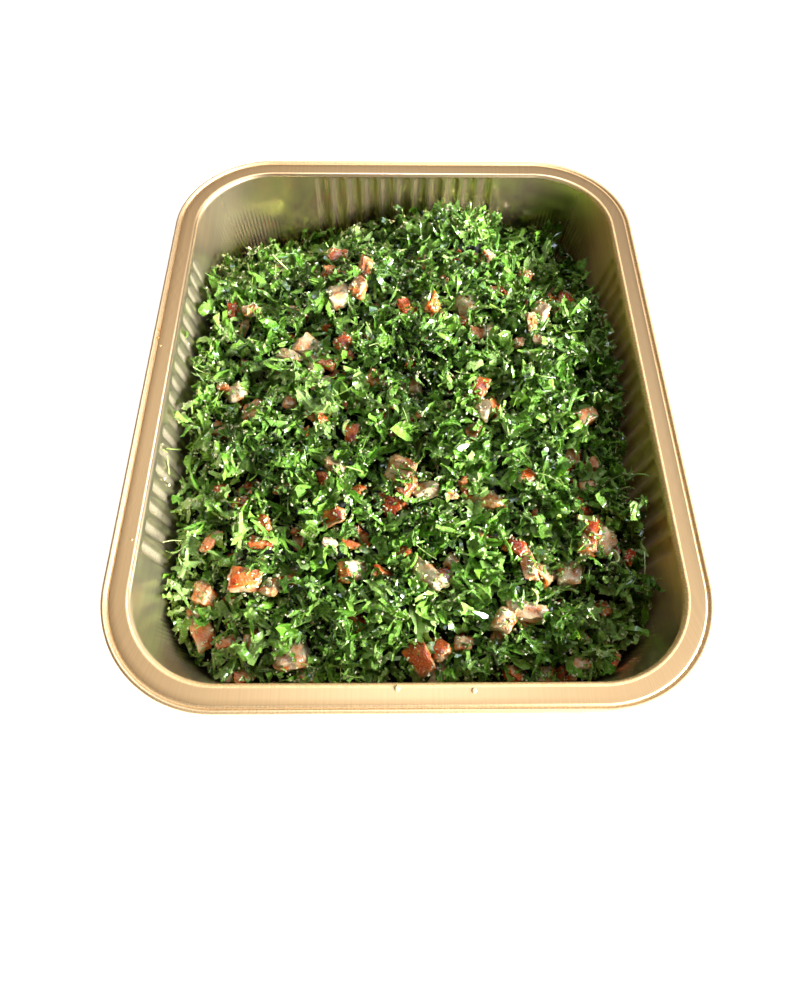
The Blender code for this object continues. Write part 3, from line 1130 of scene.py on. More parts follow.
@dataclass
class Pile:
    """The salad as a raster of heights on which loose pieces come to rest one after another.

    Args:
        tray: the tray that bounds it.
        heap: the frame's solid, whose top the finished pile follows.
        cell: the raster's step; it ends a border's width inside the rim.
        margin: how clear of the wall every piece stays, and clear how much more where pieces fall.
        edge_level: the height at which the heap's edge is taken, edge_inset in from the wall.
        edge_drop: how far the pile sinks by the wall, fading inwards over edge_reach.
        back_drop: how much further it sinks by the back wall, growing over back_span.
        ceiling: the height that no loose piece may stand above.
        lowest: the height that the pile starts from where it is thinnest.
        loose_depth: how deep the loose pieces lie over the core.
        clumps: height and size of the swells in its top.
        crevice: depth of the furrows between clumps, with their spacing and narrowness.
        cluster_size: size of the clusters that small pieces keep to.
        tint_sizes: strength and size of the drifts in the herbs' tones.
        follow: how far a piece leans with the slope, from 0 to 1.
        flipped: share of the pieces that lie face down.
        seed: what the random draws start from.
    """

    tray: TrayShape
    heap: bpy.types.Object
    cell: float = 1.0
    border: float = 15.0
    margin: float = 0.5
    clear: float = 0.6
    edge_level: float = 42.0
    edge_inset: float = 2.0
    edge_drop: float = 2.0
    edge_reach: float = 8.0
    back_drop: float = 8.0
    back_span: tuple[float, float] = (70.0, 110.0)
    ceiling: float = 69.0
    lowest: float = 4.0
    loose_depth: float = 7.0
    clumps: tuple[tuple[float, float], ...] = ((9.0, 20.0), (5.0, 9.0))
    crevice: float = 8.0
    crevice_size: float = 23.0
    crevice_width: float = 0.09
    cluster_size: float = 5.0
    tint_sizes: tuple[tuple[float, float], ...] = ((0.55, 13.0), (0.42, 34.0))
    follow: float = 0.7
    flipped: float = 0.35
    seed: int = 5
    goal: np.ndarray = field(init=False)
    top: np.ndarray = field(init=False)
    spared: np.ndarray = field(init=False)

    def __post_init__(self) -> None:
        """Read the heap's top into the raster and start the pile below it."""
        self.random = np.random.default_rng(self.seed)
        self.half = np.array([self.tray.width, self.tray.length]) / 2 - self.border
        columns, rows = (int(2 * h / self.cell) for h in self.half)
        self.xs = (np.arange(columns) + 0.5) * self.cell - self.half[0]
        self.ys = (np.arange(rows) + 0.5) * self.cell - self.half[1]
        self.goal = self.heap_top()
        self.goal += sum(high * self.rumple(size, 3) for high, size in self.clumps)
        self.goal -= self.crevice * np.exp(-((self.rumple(self.crevice_size, 8) / self.crevice_width) ** 2))
        room = self.tray.room(*np.meshgrid(self.xs, self.ys), self.goal)
        start, end = self.back_span
        drop = self.edge_drop + self.back_drop * np.clip((self.ys[:, None] - start) / (end - start), 0, 1)
        self.goal -= drop * np.exp(-np.maximum(room, 0) / self.edge_reach)
        self.top = np.maximum(self.goal - self.loose_depth, self.lowest)
        self.spared = np.zeros_like(self.goal)
        self.tint_and_painted_light = sum(strength * self.rumple(size, 11) for strength, size in self.tint_sizes)
        # Painted glow: lighter, yellower herb tones in patches, standing for light shining through the leaves.
        for x, y, radius, lift in PAINTED_GLOW_PATCHES:
            away = np.hypot(self.xs[None, :] - x, self.ys[:, None] - y) / radius
            self.tint_and_painted_light += lift * np.exp(-(away**2))

    def rumple(self, size: float, layer: int) -> np.ndarray:
        """Smooth noise over the raster, about -0.5 to 0.5, with features of a size in millimetres."""
        return np.array([[noise.noise(Vector((x / size, y / size, layer * 7.3))) for x in self.xs] for y in self.ys])

    def heap_top(self) -> np.ndarray:
        """Heights of the heap's top at each cell, carried outwards past its edge."""
        mesh = self.heap.data
        points = [v.co.copy() for v in mesh.vertices]
        tree = BVHTree.FromPolygons(points, [tuple(f.vertices) for f in mesh.polygons])
        found = np.zeros((len(self.ys), len(self.xs)))
        core = self.tray.core
        for row, y in enumerate(self.ys):
            for column, x in enumerate(self.xs):
                room = float(self.tray.room(x, y, self.edge_level)) - self.edge_inset
                if room < 0:
                    near = np.clip((x, y), -core, core)
                    away = np.array([x, y]) - near
                    inward = near + away * max(0.0, 1 + room / max(np.hypot(*away), 1e-6))
                else:
                    inward = (x, y)
                for share in np.linspace(1.0, 0.0, 30):
                    middle = np.clip(inward, -core, core)
                    at = (middle + (np.array(inward) - middle) * share) * MM
                    hit = tree.ray_cast(Vector((*at, 0.1)), Vector((0, 0, -1)))
                    if hit[0]:
                        break
                found[row, column] = hit[0].z / MM
        return found

    def cells(self, x: np.ndarray, y: np.ndarray) -> tuple[np.ndarray, np.ndarray]:
        """Row and column numbers of places on the raster."""
        row = np.clip(((y + self.half[1]) / self.cell).astype(int), 0, len(self.ys) - 1)
        column = np.clip(((x + self.half[0]) / self.cell).astype(int), 0, len(self.xs) - 1)
        return row, column

    @staticmethod
    def blurred(raster: np.ndarray, passes: int = 3) -> np.ndarray:
        """A raster averaged with its neighbours a few times."""
        out = raster
        for _ in range(passes):
            padded = np.pad(out, 1, mode="edge")
            out = (padded[:-2, 1:-1] + padded[2:, 1:-1] + padded[1:-1, :-2] + padded[1:-1, 2:] + 2 * out) / 6
        return out

    def drop(
        self,
        kind: Kind,
        count: int,
        level: float = 0.0,
        cover: float = 0.1,
        shade: float = 0.0,
        patchy: float = 0.0,
        greed: float = 2.0,
        batch: int = 250,
    ) -> None:
        """Let pieces of a kind fall where the pile is lowest against its goal.

        Args:
            kind: the kind of piece.
            count: how many fall.
            level: how far above the goal this stage fills, in millimetres.
            cover: chance of falling on a spared place, against one elsewhere.
            shade: what this stage adds to the pieces' tones, as painted shade where it darkens a lower stage and
                painted light where it lightens a top stage.
            patchy: how much the pieces keep to clusters, from 0 to 1.
            greed: how strongly the lowest places draw the pieces, from 0 for evenly.
            batch: how many fall between two looks at the pile.
        """
        field_x, field_y = np.meshgrid(self.xs, self.ys)
        inside = self.tray.room(field_x, field_y, self.goal) > self.margin + self.clear
        cluster = 1 - patchy * (self.rumple(self.cluster_size, count) < 0.05)
        left = count
        while left > 0:
            smooth = self.blurred(self.top)
            lack = np.clip(self.goal + level - smooth, 0.15, 6.0) ** greed
            chance = lack * inside * cluster * (1 - (1 - cover) * self.spared)
            chosen = self.random.choice(chance.size, size=min(batch, left), p=(chance / chance.sum()).ravel())
            slope_y, slope_x = np.gradient(smooth, self.cell)
            for cell in chosen:
                row, column = divmod(int(cell), len(self.xs))
                self.settle(kind, row, column, slope_x[row, column], slope_y[row, column], shade)
            left -= len(chosen)

    def settle(self, kind: Kind, row: int, column: int, slope_x: float, slope_y: float, shade: float) -> None:
        """Let one piece come to rest at a cell, turned at random and leaning with the slope."""
        draw = self.random
        yaw = draw.uniform(0, 2 * math.pi)
        lean_x = slope_y * math.cos(yaw) - slope_x * math.sin(yaw)
        lean_y = slope_x * math.cos(yaw) + slope_y * math.sin(yaw)
        flip = math.pi if draw.random() < self.flipped else 0.0
        turn = np.array(
            [
                math.atan(lean_x) * self.follow + draw.normal(0, kind.tilt) + flip,
                -math.atan(lean_y) * self.follow + draw.normal(0, kind.tilt),
                yaw,
            ]
        )
        x = self.xs[column] + draw.uniform(-0.5, 0.5) * self.cell
        y = self.ys[row] + draw.uniform(-0.5, 0.5) * self.cell
        shape = int(draw.integers(len(kind.shapes)))
        size = np.full(3, draw.uniform(*kind.scale))
        # The tone is drawn at random, plus the stage's painted shade or light, plus the pile's tone drifts and
        # painted glow.
        tone = float(np.clip(draw.normal(*kind.tone) + shade + self.tint_and_painted_light[row, column] * kind.tinted, 0, 1))
        self.rest(kind, np.array([x, y]), turn, size, shape, tone)

    def rest(self, kind: Kind, at: np.ndarray, turn: np.ndarray, size: np.ndarray, shape: int, tone: float) -> None:
        """Lower one piece at a place until the pile carries it, and note it.

        A piece that meets the wall is moved inwards.  One that finds no room clear of the wall,
        or that would stand above the ceiling, is left out.
        """
        feelers = (kind.shapes[shape].feelers * size) @ turn_matrix(turn).T
        for _ in range(3):
            x, y = at[0] + feelers[:, 0], at[1] + feelers[:, 1]
            rows, columns = self.cells(x, y)
            gaps = np.sort(self.top[rows, columns] - feelers[:, 2])
            z = gaps[int(kind.grip * (len(gaps) - 1))]
            heights = feelers[:, 2] + z
            room = self.tray.room(x, y, heights).min() - self.margin
            if heights.max() > self.ceiling:
                return
            if room >= 0:
                np.maximum.at(self.top, (rows, columns), heights)
                kind.resting.add(np.array([*at, z]), turn, size, shape, tone)
                return
            away = at - np.clip(at, -self.tray.core, self.tray.core)
            far = np.hypot(*away)
            at = at - (away / far if far > 1e-6 else np.sign(at) * (0.7, 0.7)) * (0.2 - room)


# ---------------------------------------------------------------- scattering


@dataclass
class Scatter:
    """Geometry Nodes that set a kind's shapes on its resting places and make one mesh of them."""

    kind: Kind

    def library(self) -> bpy.types.Collection:
        """The kind's shapes as objects in a collection, in order of their names."""
        made = bpy.data.collections.new(self.kind.name + "_shapes")
        for number, shape in enumerate(self.kind.shapes):
            name = f"{self.kind.name}_{number:02d}"
            made.objects.link(bpy.data.objects.new(name, shape.mesh(name, self.kind.mark)))
        return made

    def carrier(self) -> bpy.types.Object:
        """Loose points at the resting places, with each piece's turn, size, shape and tone."""
        resting = self.kind.resting
        mesh = bpy.data.meshes.new(self.kind.name + "_points")
        mesh.from_pydata((np.array(resting.places) * MM).tolist(), [], [])
        for name, kind, key, values in (
            ("turn", "FLOAT_VECTOR", "vector", resting.turns),
            ("size", "FLOAT_VECTOR", "vector", resting.sizes),
            ("shape", "INT", "value", resting.shapes),
            ("tone", "FLOAT", "value", resting.tones),
        ):
            attribute = mesh.attributes.new(name, kind, "POINT")
            attribute.data.foreach_set(key, np.array(values).ravel())
        return new_object(self.kind.name + "_points", mesh)

    def tree(self) -> bpy.types.NodeTree:
        """The node tree: pick a shape for each point, turn and size it, realize, set the finish."""
        tree = bpy.data.node_groups.new("scatter_" + self.kind.name, "GeometryNodeTree")
        inputs = {"Points": "Geometry", "Shapes": "Collection", "Finish": "Material"}
        for name, kind in inputs.items():
            tree.interface.new_socket(name, in_out="INPUT", socket_type="NodeSocket" + kind)
        tree.interface.new_socket("Pieces", in_out="OUTPUT", socket_type="NodeSocketGeometry")
        given = add_node(tree, "NodeGroupInput")
        shapes = add_node(
            tree,
            "GeometryNodeCollectionInfo",
            {"Collection": given.outputs["Shapes"], "Separate Children": True, "Reset Children": True},
        )
        read = {}
        for name, kind in (("turn", "FLOAT_VECTOR"), ("size", "FLOAT_VECTOR"), ("shape", "INT")):
            reader = add_node(tree, "GeometryNodeInputNamedAttribute", {"Name": name}, data_type=kind)
            read[name] = reader.outputs["Attribute"]
        spread = add_node(
            tree,
            "GeometryNodeInstanceOnPoints",
            {
                "Points": given.outputs["Points"],
                "Instance": shapes.outputs[0],
                "Pick Instance": True,
                "Instance Index": read["shape"],
                "Rotation": read["turn"],
                "Scale": read["size"],
            },
        )
        real = add_node(tree, "GeometryNodeRealizeInstances", {"Geometry": spread.outputs[0]})
        lean = real.outputs[0]
        for name in read:
            lean = add_node(tree, "GeometryNodeRemoveAttribute", {"Geometry": lean, "Name": name}).outputs[0]
        dressed = add_node(
            tree, "GeometryNodeSetMaterial", {"Geometry": lean, "Material": given.outputs["Finish"]}
        )
        add_node(tree, "NodeGroupOutput", {"Pieces": dressed.outputs[0]})
        return tree

    def build(self) -> None:
        """Scatter the kind, and hand its one joined mesh to the frame."""
        kind = self.kind
        carrier, library, tree = self.carrier(), self.library(), self.tree()
        modifier = carrier.modifiers.new("scatter", "NODES")
        modifier.node_group = tree
        sockets = {item.name: item.identifier for item in tree.interface.items_tree}
        modifier[sockets["Shapes"]] = library
        modifier[sockets["Finish"]] = kind.finish.material()
        depsgraph = bpy.context.evaluated_depsgraph_get()
        mesh = bpy.data.meshes.new_from_object(carrier.evaluated_get(depsgraph), depsgraph=depsgraph)
        mesh.name = kind.name
        piece = new_object(kind.name, mesh)
        bpy.data.objects.remove(carrier)
        for shape in list(library.objects):
            bpy.data.objects.remove(shape)
        bpy.data.collections.remove(library)
        bpy.data.node_groups.remove(tree)
        keep_piece(piece, "salad_heap")


# ---------------------------------------------------------------- the salad


@dataclass
class HeapCore:
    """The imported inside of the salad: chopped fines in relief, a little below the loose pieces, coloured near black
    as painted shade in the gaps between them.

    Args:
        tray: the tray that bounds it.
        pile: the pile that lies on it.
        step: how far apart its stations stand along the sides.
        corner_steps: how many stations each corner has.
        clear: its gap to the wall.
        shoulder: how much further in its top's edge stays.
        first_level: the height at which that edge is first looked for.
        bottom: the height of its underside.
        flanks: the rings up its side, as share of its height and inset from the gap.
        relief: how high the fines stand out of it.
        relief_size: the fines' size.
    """

    tray: TrayShape
    pile: Pile
    step: float = 2.4
    corner_steps: int = 16
    clear: float = 1.0
    shoulder: float = 1.0
    first_level: float = 38.0
    bottom: float = 3.0
    flanks: tuple[tuple[float, float], ...] = ((0.0, 4.5), (0.4, 2.2), (0.8, 1.4))
    relief: float = 1.1
    relief_size: float = 2.6

    def ring_places(self) -> list[tuple[np.ndarray, np.ndarray]]:
        """Anchor and outward direction of the stations round the core."""
        found = []
        for turn, outward, along, reach, half in self.tray.sides():
            count = round(2 * half / self.step)
            for k in range(count):
                found.append((outward * reach + along * half * (2 * k / count - 1), outward))
            for k in range(self.corner_steps):
                angle = turn + math.radians(90) * k / self.corner_steps
                found.append((outward * reach + along * half, np.array([math.cos(angle), math.sin(angle)])))
        return found

    def height(self, x: float, y: float) -> float:
        """Height of the core's top, with its relief."""
        row, column = self.pile.cells(np.array([x]), np.array([y]))
        base = float(self.pile.goal[row[0], column[0]]) - self.pile.loose_depth
        return max(self.pile.lowest, base + self.relief * noise.noise(Vector((x, y, base)) / self.relief_size))

    def reach(self, anchor: np.ndarray, outward: np.ndarray) -> float:
        """Radius at which the core's top comes up to its clearance from the wall."""
        radius = float(self.tray.wall_radius(self.first_level)) - self.clear - self.shoulder
        for _ in range(4):
            wall = float(self.tray.wall_radius(self.height(*(anchor + outward * radius))))
            radius = min(radius, wall - self.clear - self.shoulder)
        return radius

    def build(self) -> None:
        """Make the core as one closed mesh of rings from its floor up and inwards over its top."""
        places = self.ring_places()
        reaches = [self.reach(*place) for place in places]
        tops = [self.height(*(anchor + outward * reach)) for (anchor, outward), reach in zip(places, reaches)]
        rings = []
        for share, inset in self.flanks:
            ring = []
            for (anchor, outward), top in zip(places, tops):
                height = self.bottom + (top - self.bottom) * share
                radius = float(self.tray.wall_radius(height)) - self.clear - inset
                ring.append((*(anchor + outward * radius), height))
            rings.append(ring)
        for part, share in [(1 - k / 16, 1.0) for k in range(17)] + [(0.0, 1 - k / 32) for k in range(1, 32)]:
            flat = [a * share + outward * reach * part for (a, outward), reach in zip(places, reaches)]
            rings.append([(*p, self.height(*p)) for p in flat])
        count = len(places)
        points = [p for ring in rings for p in ring] + [(0.0, 0.0, self.height(0.0, 0.0))]
        faces = [tuple(reversed(range(count)))]
        for ring in range(len(rings) - 1):
            for k in range(count):
                after = (k + 1) % count
                low, high = ring * count, (ring + 1) * count
                faces.append((low + k, low + after, high + after, high + k))
        last = (len(rings) - 1) * count
        faces += [(last + k, last + (k + 1) % count, len(points) - 1) for k in range(count)]
        mesh = bpy.data.meshes.new("salad_core")
        mesh.from_pydata((np.array(points) * MM).tolist(), [], faces)
        merged = bmesh.new()
        merged.from_mesh(mesh)
        bmesh.ops.remove_doubles(merged, verts=merged.verts, dist=0.005 * MM)
        merged.to_mesh(mesh)
        merged.free()
        mesh.shade_smooth()
        core = new_object("salad_core", mesh)
        core.data.materials.append(FINES_AND_PAINTED_SHADE.material())
        keep_piece(core, "salad_heap")


class Morsel(Enum):
    """The sorts of diced vegetable, as positions in the dice kind's list of shapes."""

    CHUNK = 0
    SKINNED = 1
    SLAB = 2
    WEDGE = 3
    TAPER = 4


# The larger pieces that show on top: x, y and length in millimetres, sort, tone and turn in degrees
SHOWN_DICE: tuple[tuple[float, float, float, Morsel, float, float], ...] = (
    (-77, 101, 8, Morsel.CHUNK, 0.4, 0),
    (-40, 104, 10, Morsel.SLAB, 0.25, 10),
    (-43, 88, 9, Morsel.SKINNED, 0.55, 20),
    (-37, 66, 13, Morsel.CHUNK, 0.1, 20),
    (-23, 87, 12, Morsel.WEDGE, 0.5, 80),
    (-26, 68, 9, Morsel.CHUNK, 0.5, 60),
    (-56, 63, 8, Morsel.SKINNED, 0.6, 30),
    (-63, 61, 6, Morsel.CHUNK, 0.45, 0),
    (-98, 60, 8, Morsel.SLAB, 0.6, 80),
    (-86, 57, 8, Morsel.CHUNK, 0.45, 20),
    (-53, 34, 14, Morsel.CHUNK, 0.25, -30),
    (-42, 24, 9, Morsel.CHUNK, 0.65, -30),
    (-64, 27, 12, Morsel.WEDGE, 0.0, -20),
    (-34, 33, 9, Morsel.SLAB, 0.6, 60),
    (-90, 5, 10, Morsel.CHUNK, 0.12, 30),
    (-96, 6, 5, Morsel.CHUNK, 0.5, 0),
    (-80, -6, 12, Morsel.CHUNK, 0.5, 20),
    (-94, -18, 11, Morsel.CHUNK, 0.55, -20),
    (-60, -3, 8, Morsel.CHUNK, 0.45, 0),
    (-28, -22, 11, Morsel.SLAB, 0.6, 80),
    (-55, -30, 6, Morsel.CHUNK, 0.6, 0),
    (-43, 12, 6, Morsel.CHUNK, 0.1, 80),
    (-2, 10, 21, Morsel.TAPER, 0.2, 4),
    (2, 92, 9, Morsel.SKINNED, 0.3, 60),
    (23, 85, 9, Morsel.SKINNED, 0.6, 80),
    (36, 66, 14, Morsel.CHUNK, 0.05, 40),
    (13, 61, 14, Morsel.SKINNED, 0.35, 120),
    (33, 54, 9, Morsel.SKINNED, 0.65, 80),
    (47, 45, 9, Morsel.CHUNK, 0.4, 0),
    (54, 74, 7, Morsel.CHUNK, 0.7, 0),
    (71, 76, 14, Morsel.SLAB, 0.65, -50),
    (72, 90, 8, Morsel.CHUNK, 0.45, -60),
    (86, 68, 10, Morsel.SLAB, 0.7, 80),
    (94, 72, 9, Morsel.SLAB, 0.65, 0),
    (76, 54, 10, Morsel.CHUNK, 0.25, 60),
    (69, 43, 9, Morsel.WEDGE, 0.35, 100),
    (62, 33, 6, Morsel.CHUNK, 0.2, 0),
    (72, 33, 6, Morsel.CHUNK, 0.25, 0),
    (33, 34, 10, Morsel.WEDGE, 0.1, 0),
    (39, 3, 11, Morsel.SLAB, 0.5, 60),
    (46, -3, 11, Morsel.SLAB, 0.5, -50),
    (50, 99, 9, Morsel.SKINNED, 0.25, 10),
    (39, -13, 8, Morsel.CHUNK, 0.2, 60),
    (34, -25, 9, Morsel.SKINNED, 0.4, 100),
    (93, -13, 9, Morsel.CHUNK, 0.5, 30),
    (-9, -60, 14, Morsel.SLAB, 0.75, -55),
    (-36, -70, 11, Morsel.SLAB, 0.65, 12),
    (-80, -61, 7, Morsel.SLAB, 0.65, 10),
    (-68, -72, 9, Morsel.SLAB, 0.65, -80),
    (-95, -79, 11, Morsel.WEDGE, 0.45, 60),
    (-92, -52, 7, Morsel.SLAB, 0.7, -60),
    (-57, -92, 13, Morsel.SKINNED, 0.2, 80),
    (-63, -103, 9, Morsel.CHUNK, 0.4, 70),
    (-75, -100, 13, Morsel.SLAB, 0.36, 0),
    (-96, -103, 11, Morsel.CHUNK, 0.5, 80),
    (-97, -118, 17, Morsel.WEDGE, 0.5, -65),
    (-84, -125, 7, Morsel.CHUNK, 0.5, 0),
    (-25, -92, 13, Morsel.SKINNED, 0.15, 30),
    (-53, -131, 15, Morsel.CHUNK, 0.25, 10),
    (-47, -142, 12, Morsel.SKINNED, 0.25, 60),
    (-85, -138, 7, Morsel.CHUNK, 0.15, 0),
    (-76, -139, 8, Morsel.CHUNK, 0.5, 20),
    (-35, -43, 9, Morsel.CHUNK, 0.35, -10),
    (-36, -83, 6, Morsel.CHUNK, 0.2, 0),
    (-2, -44, 16, Morsel.CHUNK, 0.4, 70),
    (10, -54, 11, Morsel.CHUNK, 0.12, 20),
    (10, -65, 10, Morsel.CHUNK, 0.4, 50),
    (37, -60, 17, Morsel.WEDGE, 0.35, -30),
    (22, -58, 5, Morsel.CHUNK, 0.4, 0),
    (21, -89, 6, Morsel.CHUNK, 0.4, 60),
    (51, -83, 10, Morsel.SLAB, 0.85, -35),
    (56, -93, 12, Morsel.WEDGE, 0.35, -75),
    (66, -93, 15, Morsel.SKINNED, 0.15, 40),
    (78, -95, 13, Morsel.CHUNK, 0.2, 0),
    (86, -77, 11, Morsel.SLAB, 0.85, 85),
    (84, -84, 8, Morsel.CHUNK, 0.55, 80),
    (93, -80, 12, Morsel.CHUNK, 0.2, 55),
    (105, -88, 7, Morsel.SLAB, 0.9, 60),
    (82, -37, 9, Morsel.SLAB, 0.8, 60),
    (95, -38, 8, Morsel.CHUNK, 0.6, 30),
    (92, -49, 8, Morsel.CHUNK, 0.4, 0),
    (9, -96, 15, Morsel.WEDGE, 0.12, 135),
    (43, -118, 10, Morsel.CHUNK, 0.35, 60),
    (53, -114, 14, Morsel.WEDGE, 0.3, 170),
    (5, -133, 14, Morsel.SLAB, 0.45, -60),
    (14, -128, 11, Morsel.SLAB, 0.4, -60),
    (13, -142, 12, Morsel.CHUNK, 0.05, 0),
    (49, -143, 10, Morsel.SKINNED, 0.6, 20),
    (25, -127, 7, Morsel.CHUNK, 0.4, 0),
    (93, -110, 8, Morsel.CHUNK, 0.7, -60),
    (97, -132, 7, Morsel.CHUNK, 0.4, 60),
    (80, -135, 7, Morsel.CHUNK, 0.3, 0),
    (64, -143, 8, Morsel.CHUNK, 0.4, 0),
    (75, -143, 9, Morsel.CHUNK, 0.6, 20),
)


# Long leaf strips on top: x, y and length in millimetres, turn in degrees and tone
SHOWN_RIBBONS: tuple[tuple[float, float, float, float, float], ...] = (
    (35, -81, 18, 55, 0.5),
    (47, -86, 26, -62, 0.55),
    (53, -126, 24, -75, 0.6),
    (57, -137, 15, -100, 0.5),
    (42, -133, 16, -25, 0.55),
    (31, 118, 18, -45, 0.25),
    (62, 71, 16, -80, 0.5),
    (72, 22, 27, -5, 0.75),
    (88, -6, 15, 15, 0.45),
    (-62, 108, 20, 45, 0.3),
    (-68, 92, 20, 10, 0.4),
    (-30, -56, 16, -60, 0.5),
    (-14, -73, 18, -50, 0.45),
    (-47, -112, 14, -55, 0.6),
    (-28, -128, 20, 40, 0.45),
    (-38, -124, 15, -70, 0.5),
    (5, -108, 22, -35, 0.55),
    (30, -106, 20, -55, 0.5),
    (-70, -122, 16, -80, 0.55),
    (-80, -138, 16, 50, 0.4),
    (-104, -50, 22, -80, 0.5),
    (96, 33, 22, 30, 0.35),
    (70, -118, 15, 40, 0.4),
    (-45, -70, 12, 20, 0.5),
    (18, 14, 14, 5, 0.6),
)

# Spring onion cuts on top: x, y and turn in degrees
SHOWN_ARCS: tuple[tuple[float, float, float], ...] = (
    (11, -46, 70),
    (58, -108, 10),
    (84, -72, 40),
    (-31, -19, 160),
    (-62, 48, 30),
    (97, -90, -20),
)

# Drops of dressing on the rim: x, y, width in millimetres, and tone
DROPS = (
    (-5.4, -151, 2.6, 0.9),
    (25.4, -152, 2.4, 0.9),
    (-122, -87, 1.2, 0.6),
    (-128.8, 30, 1.7, 0.1),
    (-128.1, 25, 1.4, 0.2),
    (-126.3, 20, 1.2, 0.3),
)


class Stray(Enum):
    """The sorts of bit that stick to the wall."""

    STEM = "stem"
    GRAIN = "grain"
    LEAF = "leaf"
    BLADE = "blade"


# Bits on the left wall: y and z, sort, length, turn in degrees and how proud of the foil, in millimetres
STRAY_BITS: tuple[tuple[float, float, Stray, float, float, float], ...] = (
    (-33, 50, Stray.STEM, 16, -62, 1.2),
    (-38, 57, Stray.STEM, 5, 100, 0.8),
    (-43, 52, Stray.STEM, 9, 35, 0.8),
    (34, 56, Stray.LEAF, 6, -60, 0.7),
    (31, 52, Stray.GRAIN, 1.3, 0, 0.6),
    (-51, 53, Stray.GRAIN, 1.6, 20, 0.7),
    (-52, 48, Stray.GRAIN, 1.8, 70, 0.8),
    (-82, 33, Stray.GRAIN, 1.6, 0, 0.8),
    (-36, 60, Stray.GRAIN, 1.0, 0, 0.5),
    (-72, 30, Stray.BLADE, 20, -75, 2.0),
    (-92, 31, Stray.LEAF, 15, -40, 3.0),
    (-94, 37, Stray.LEAF, 9, -60, 2.0),
)


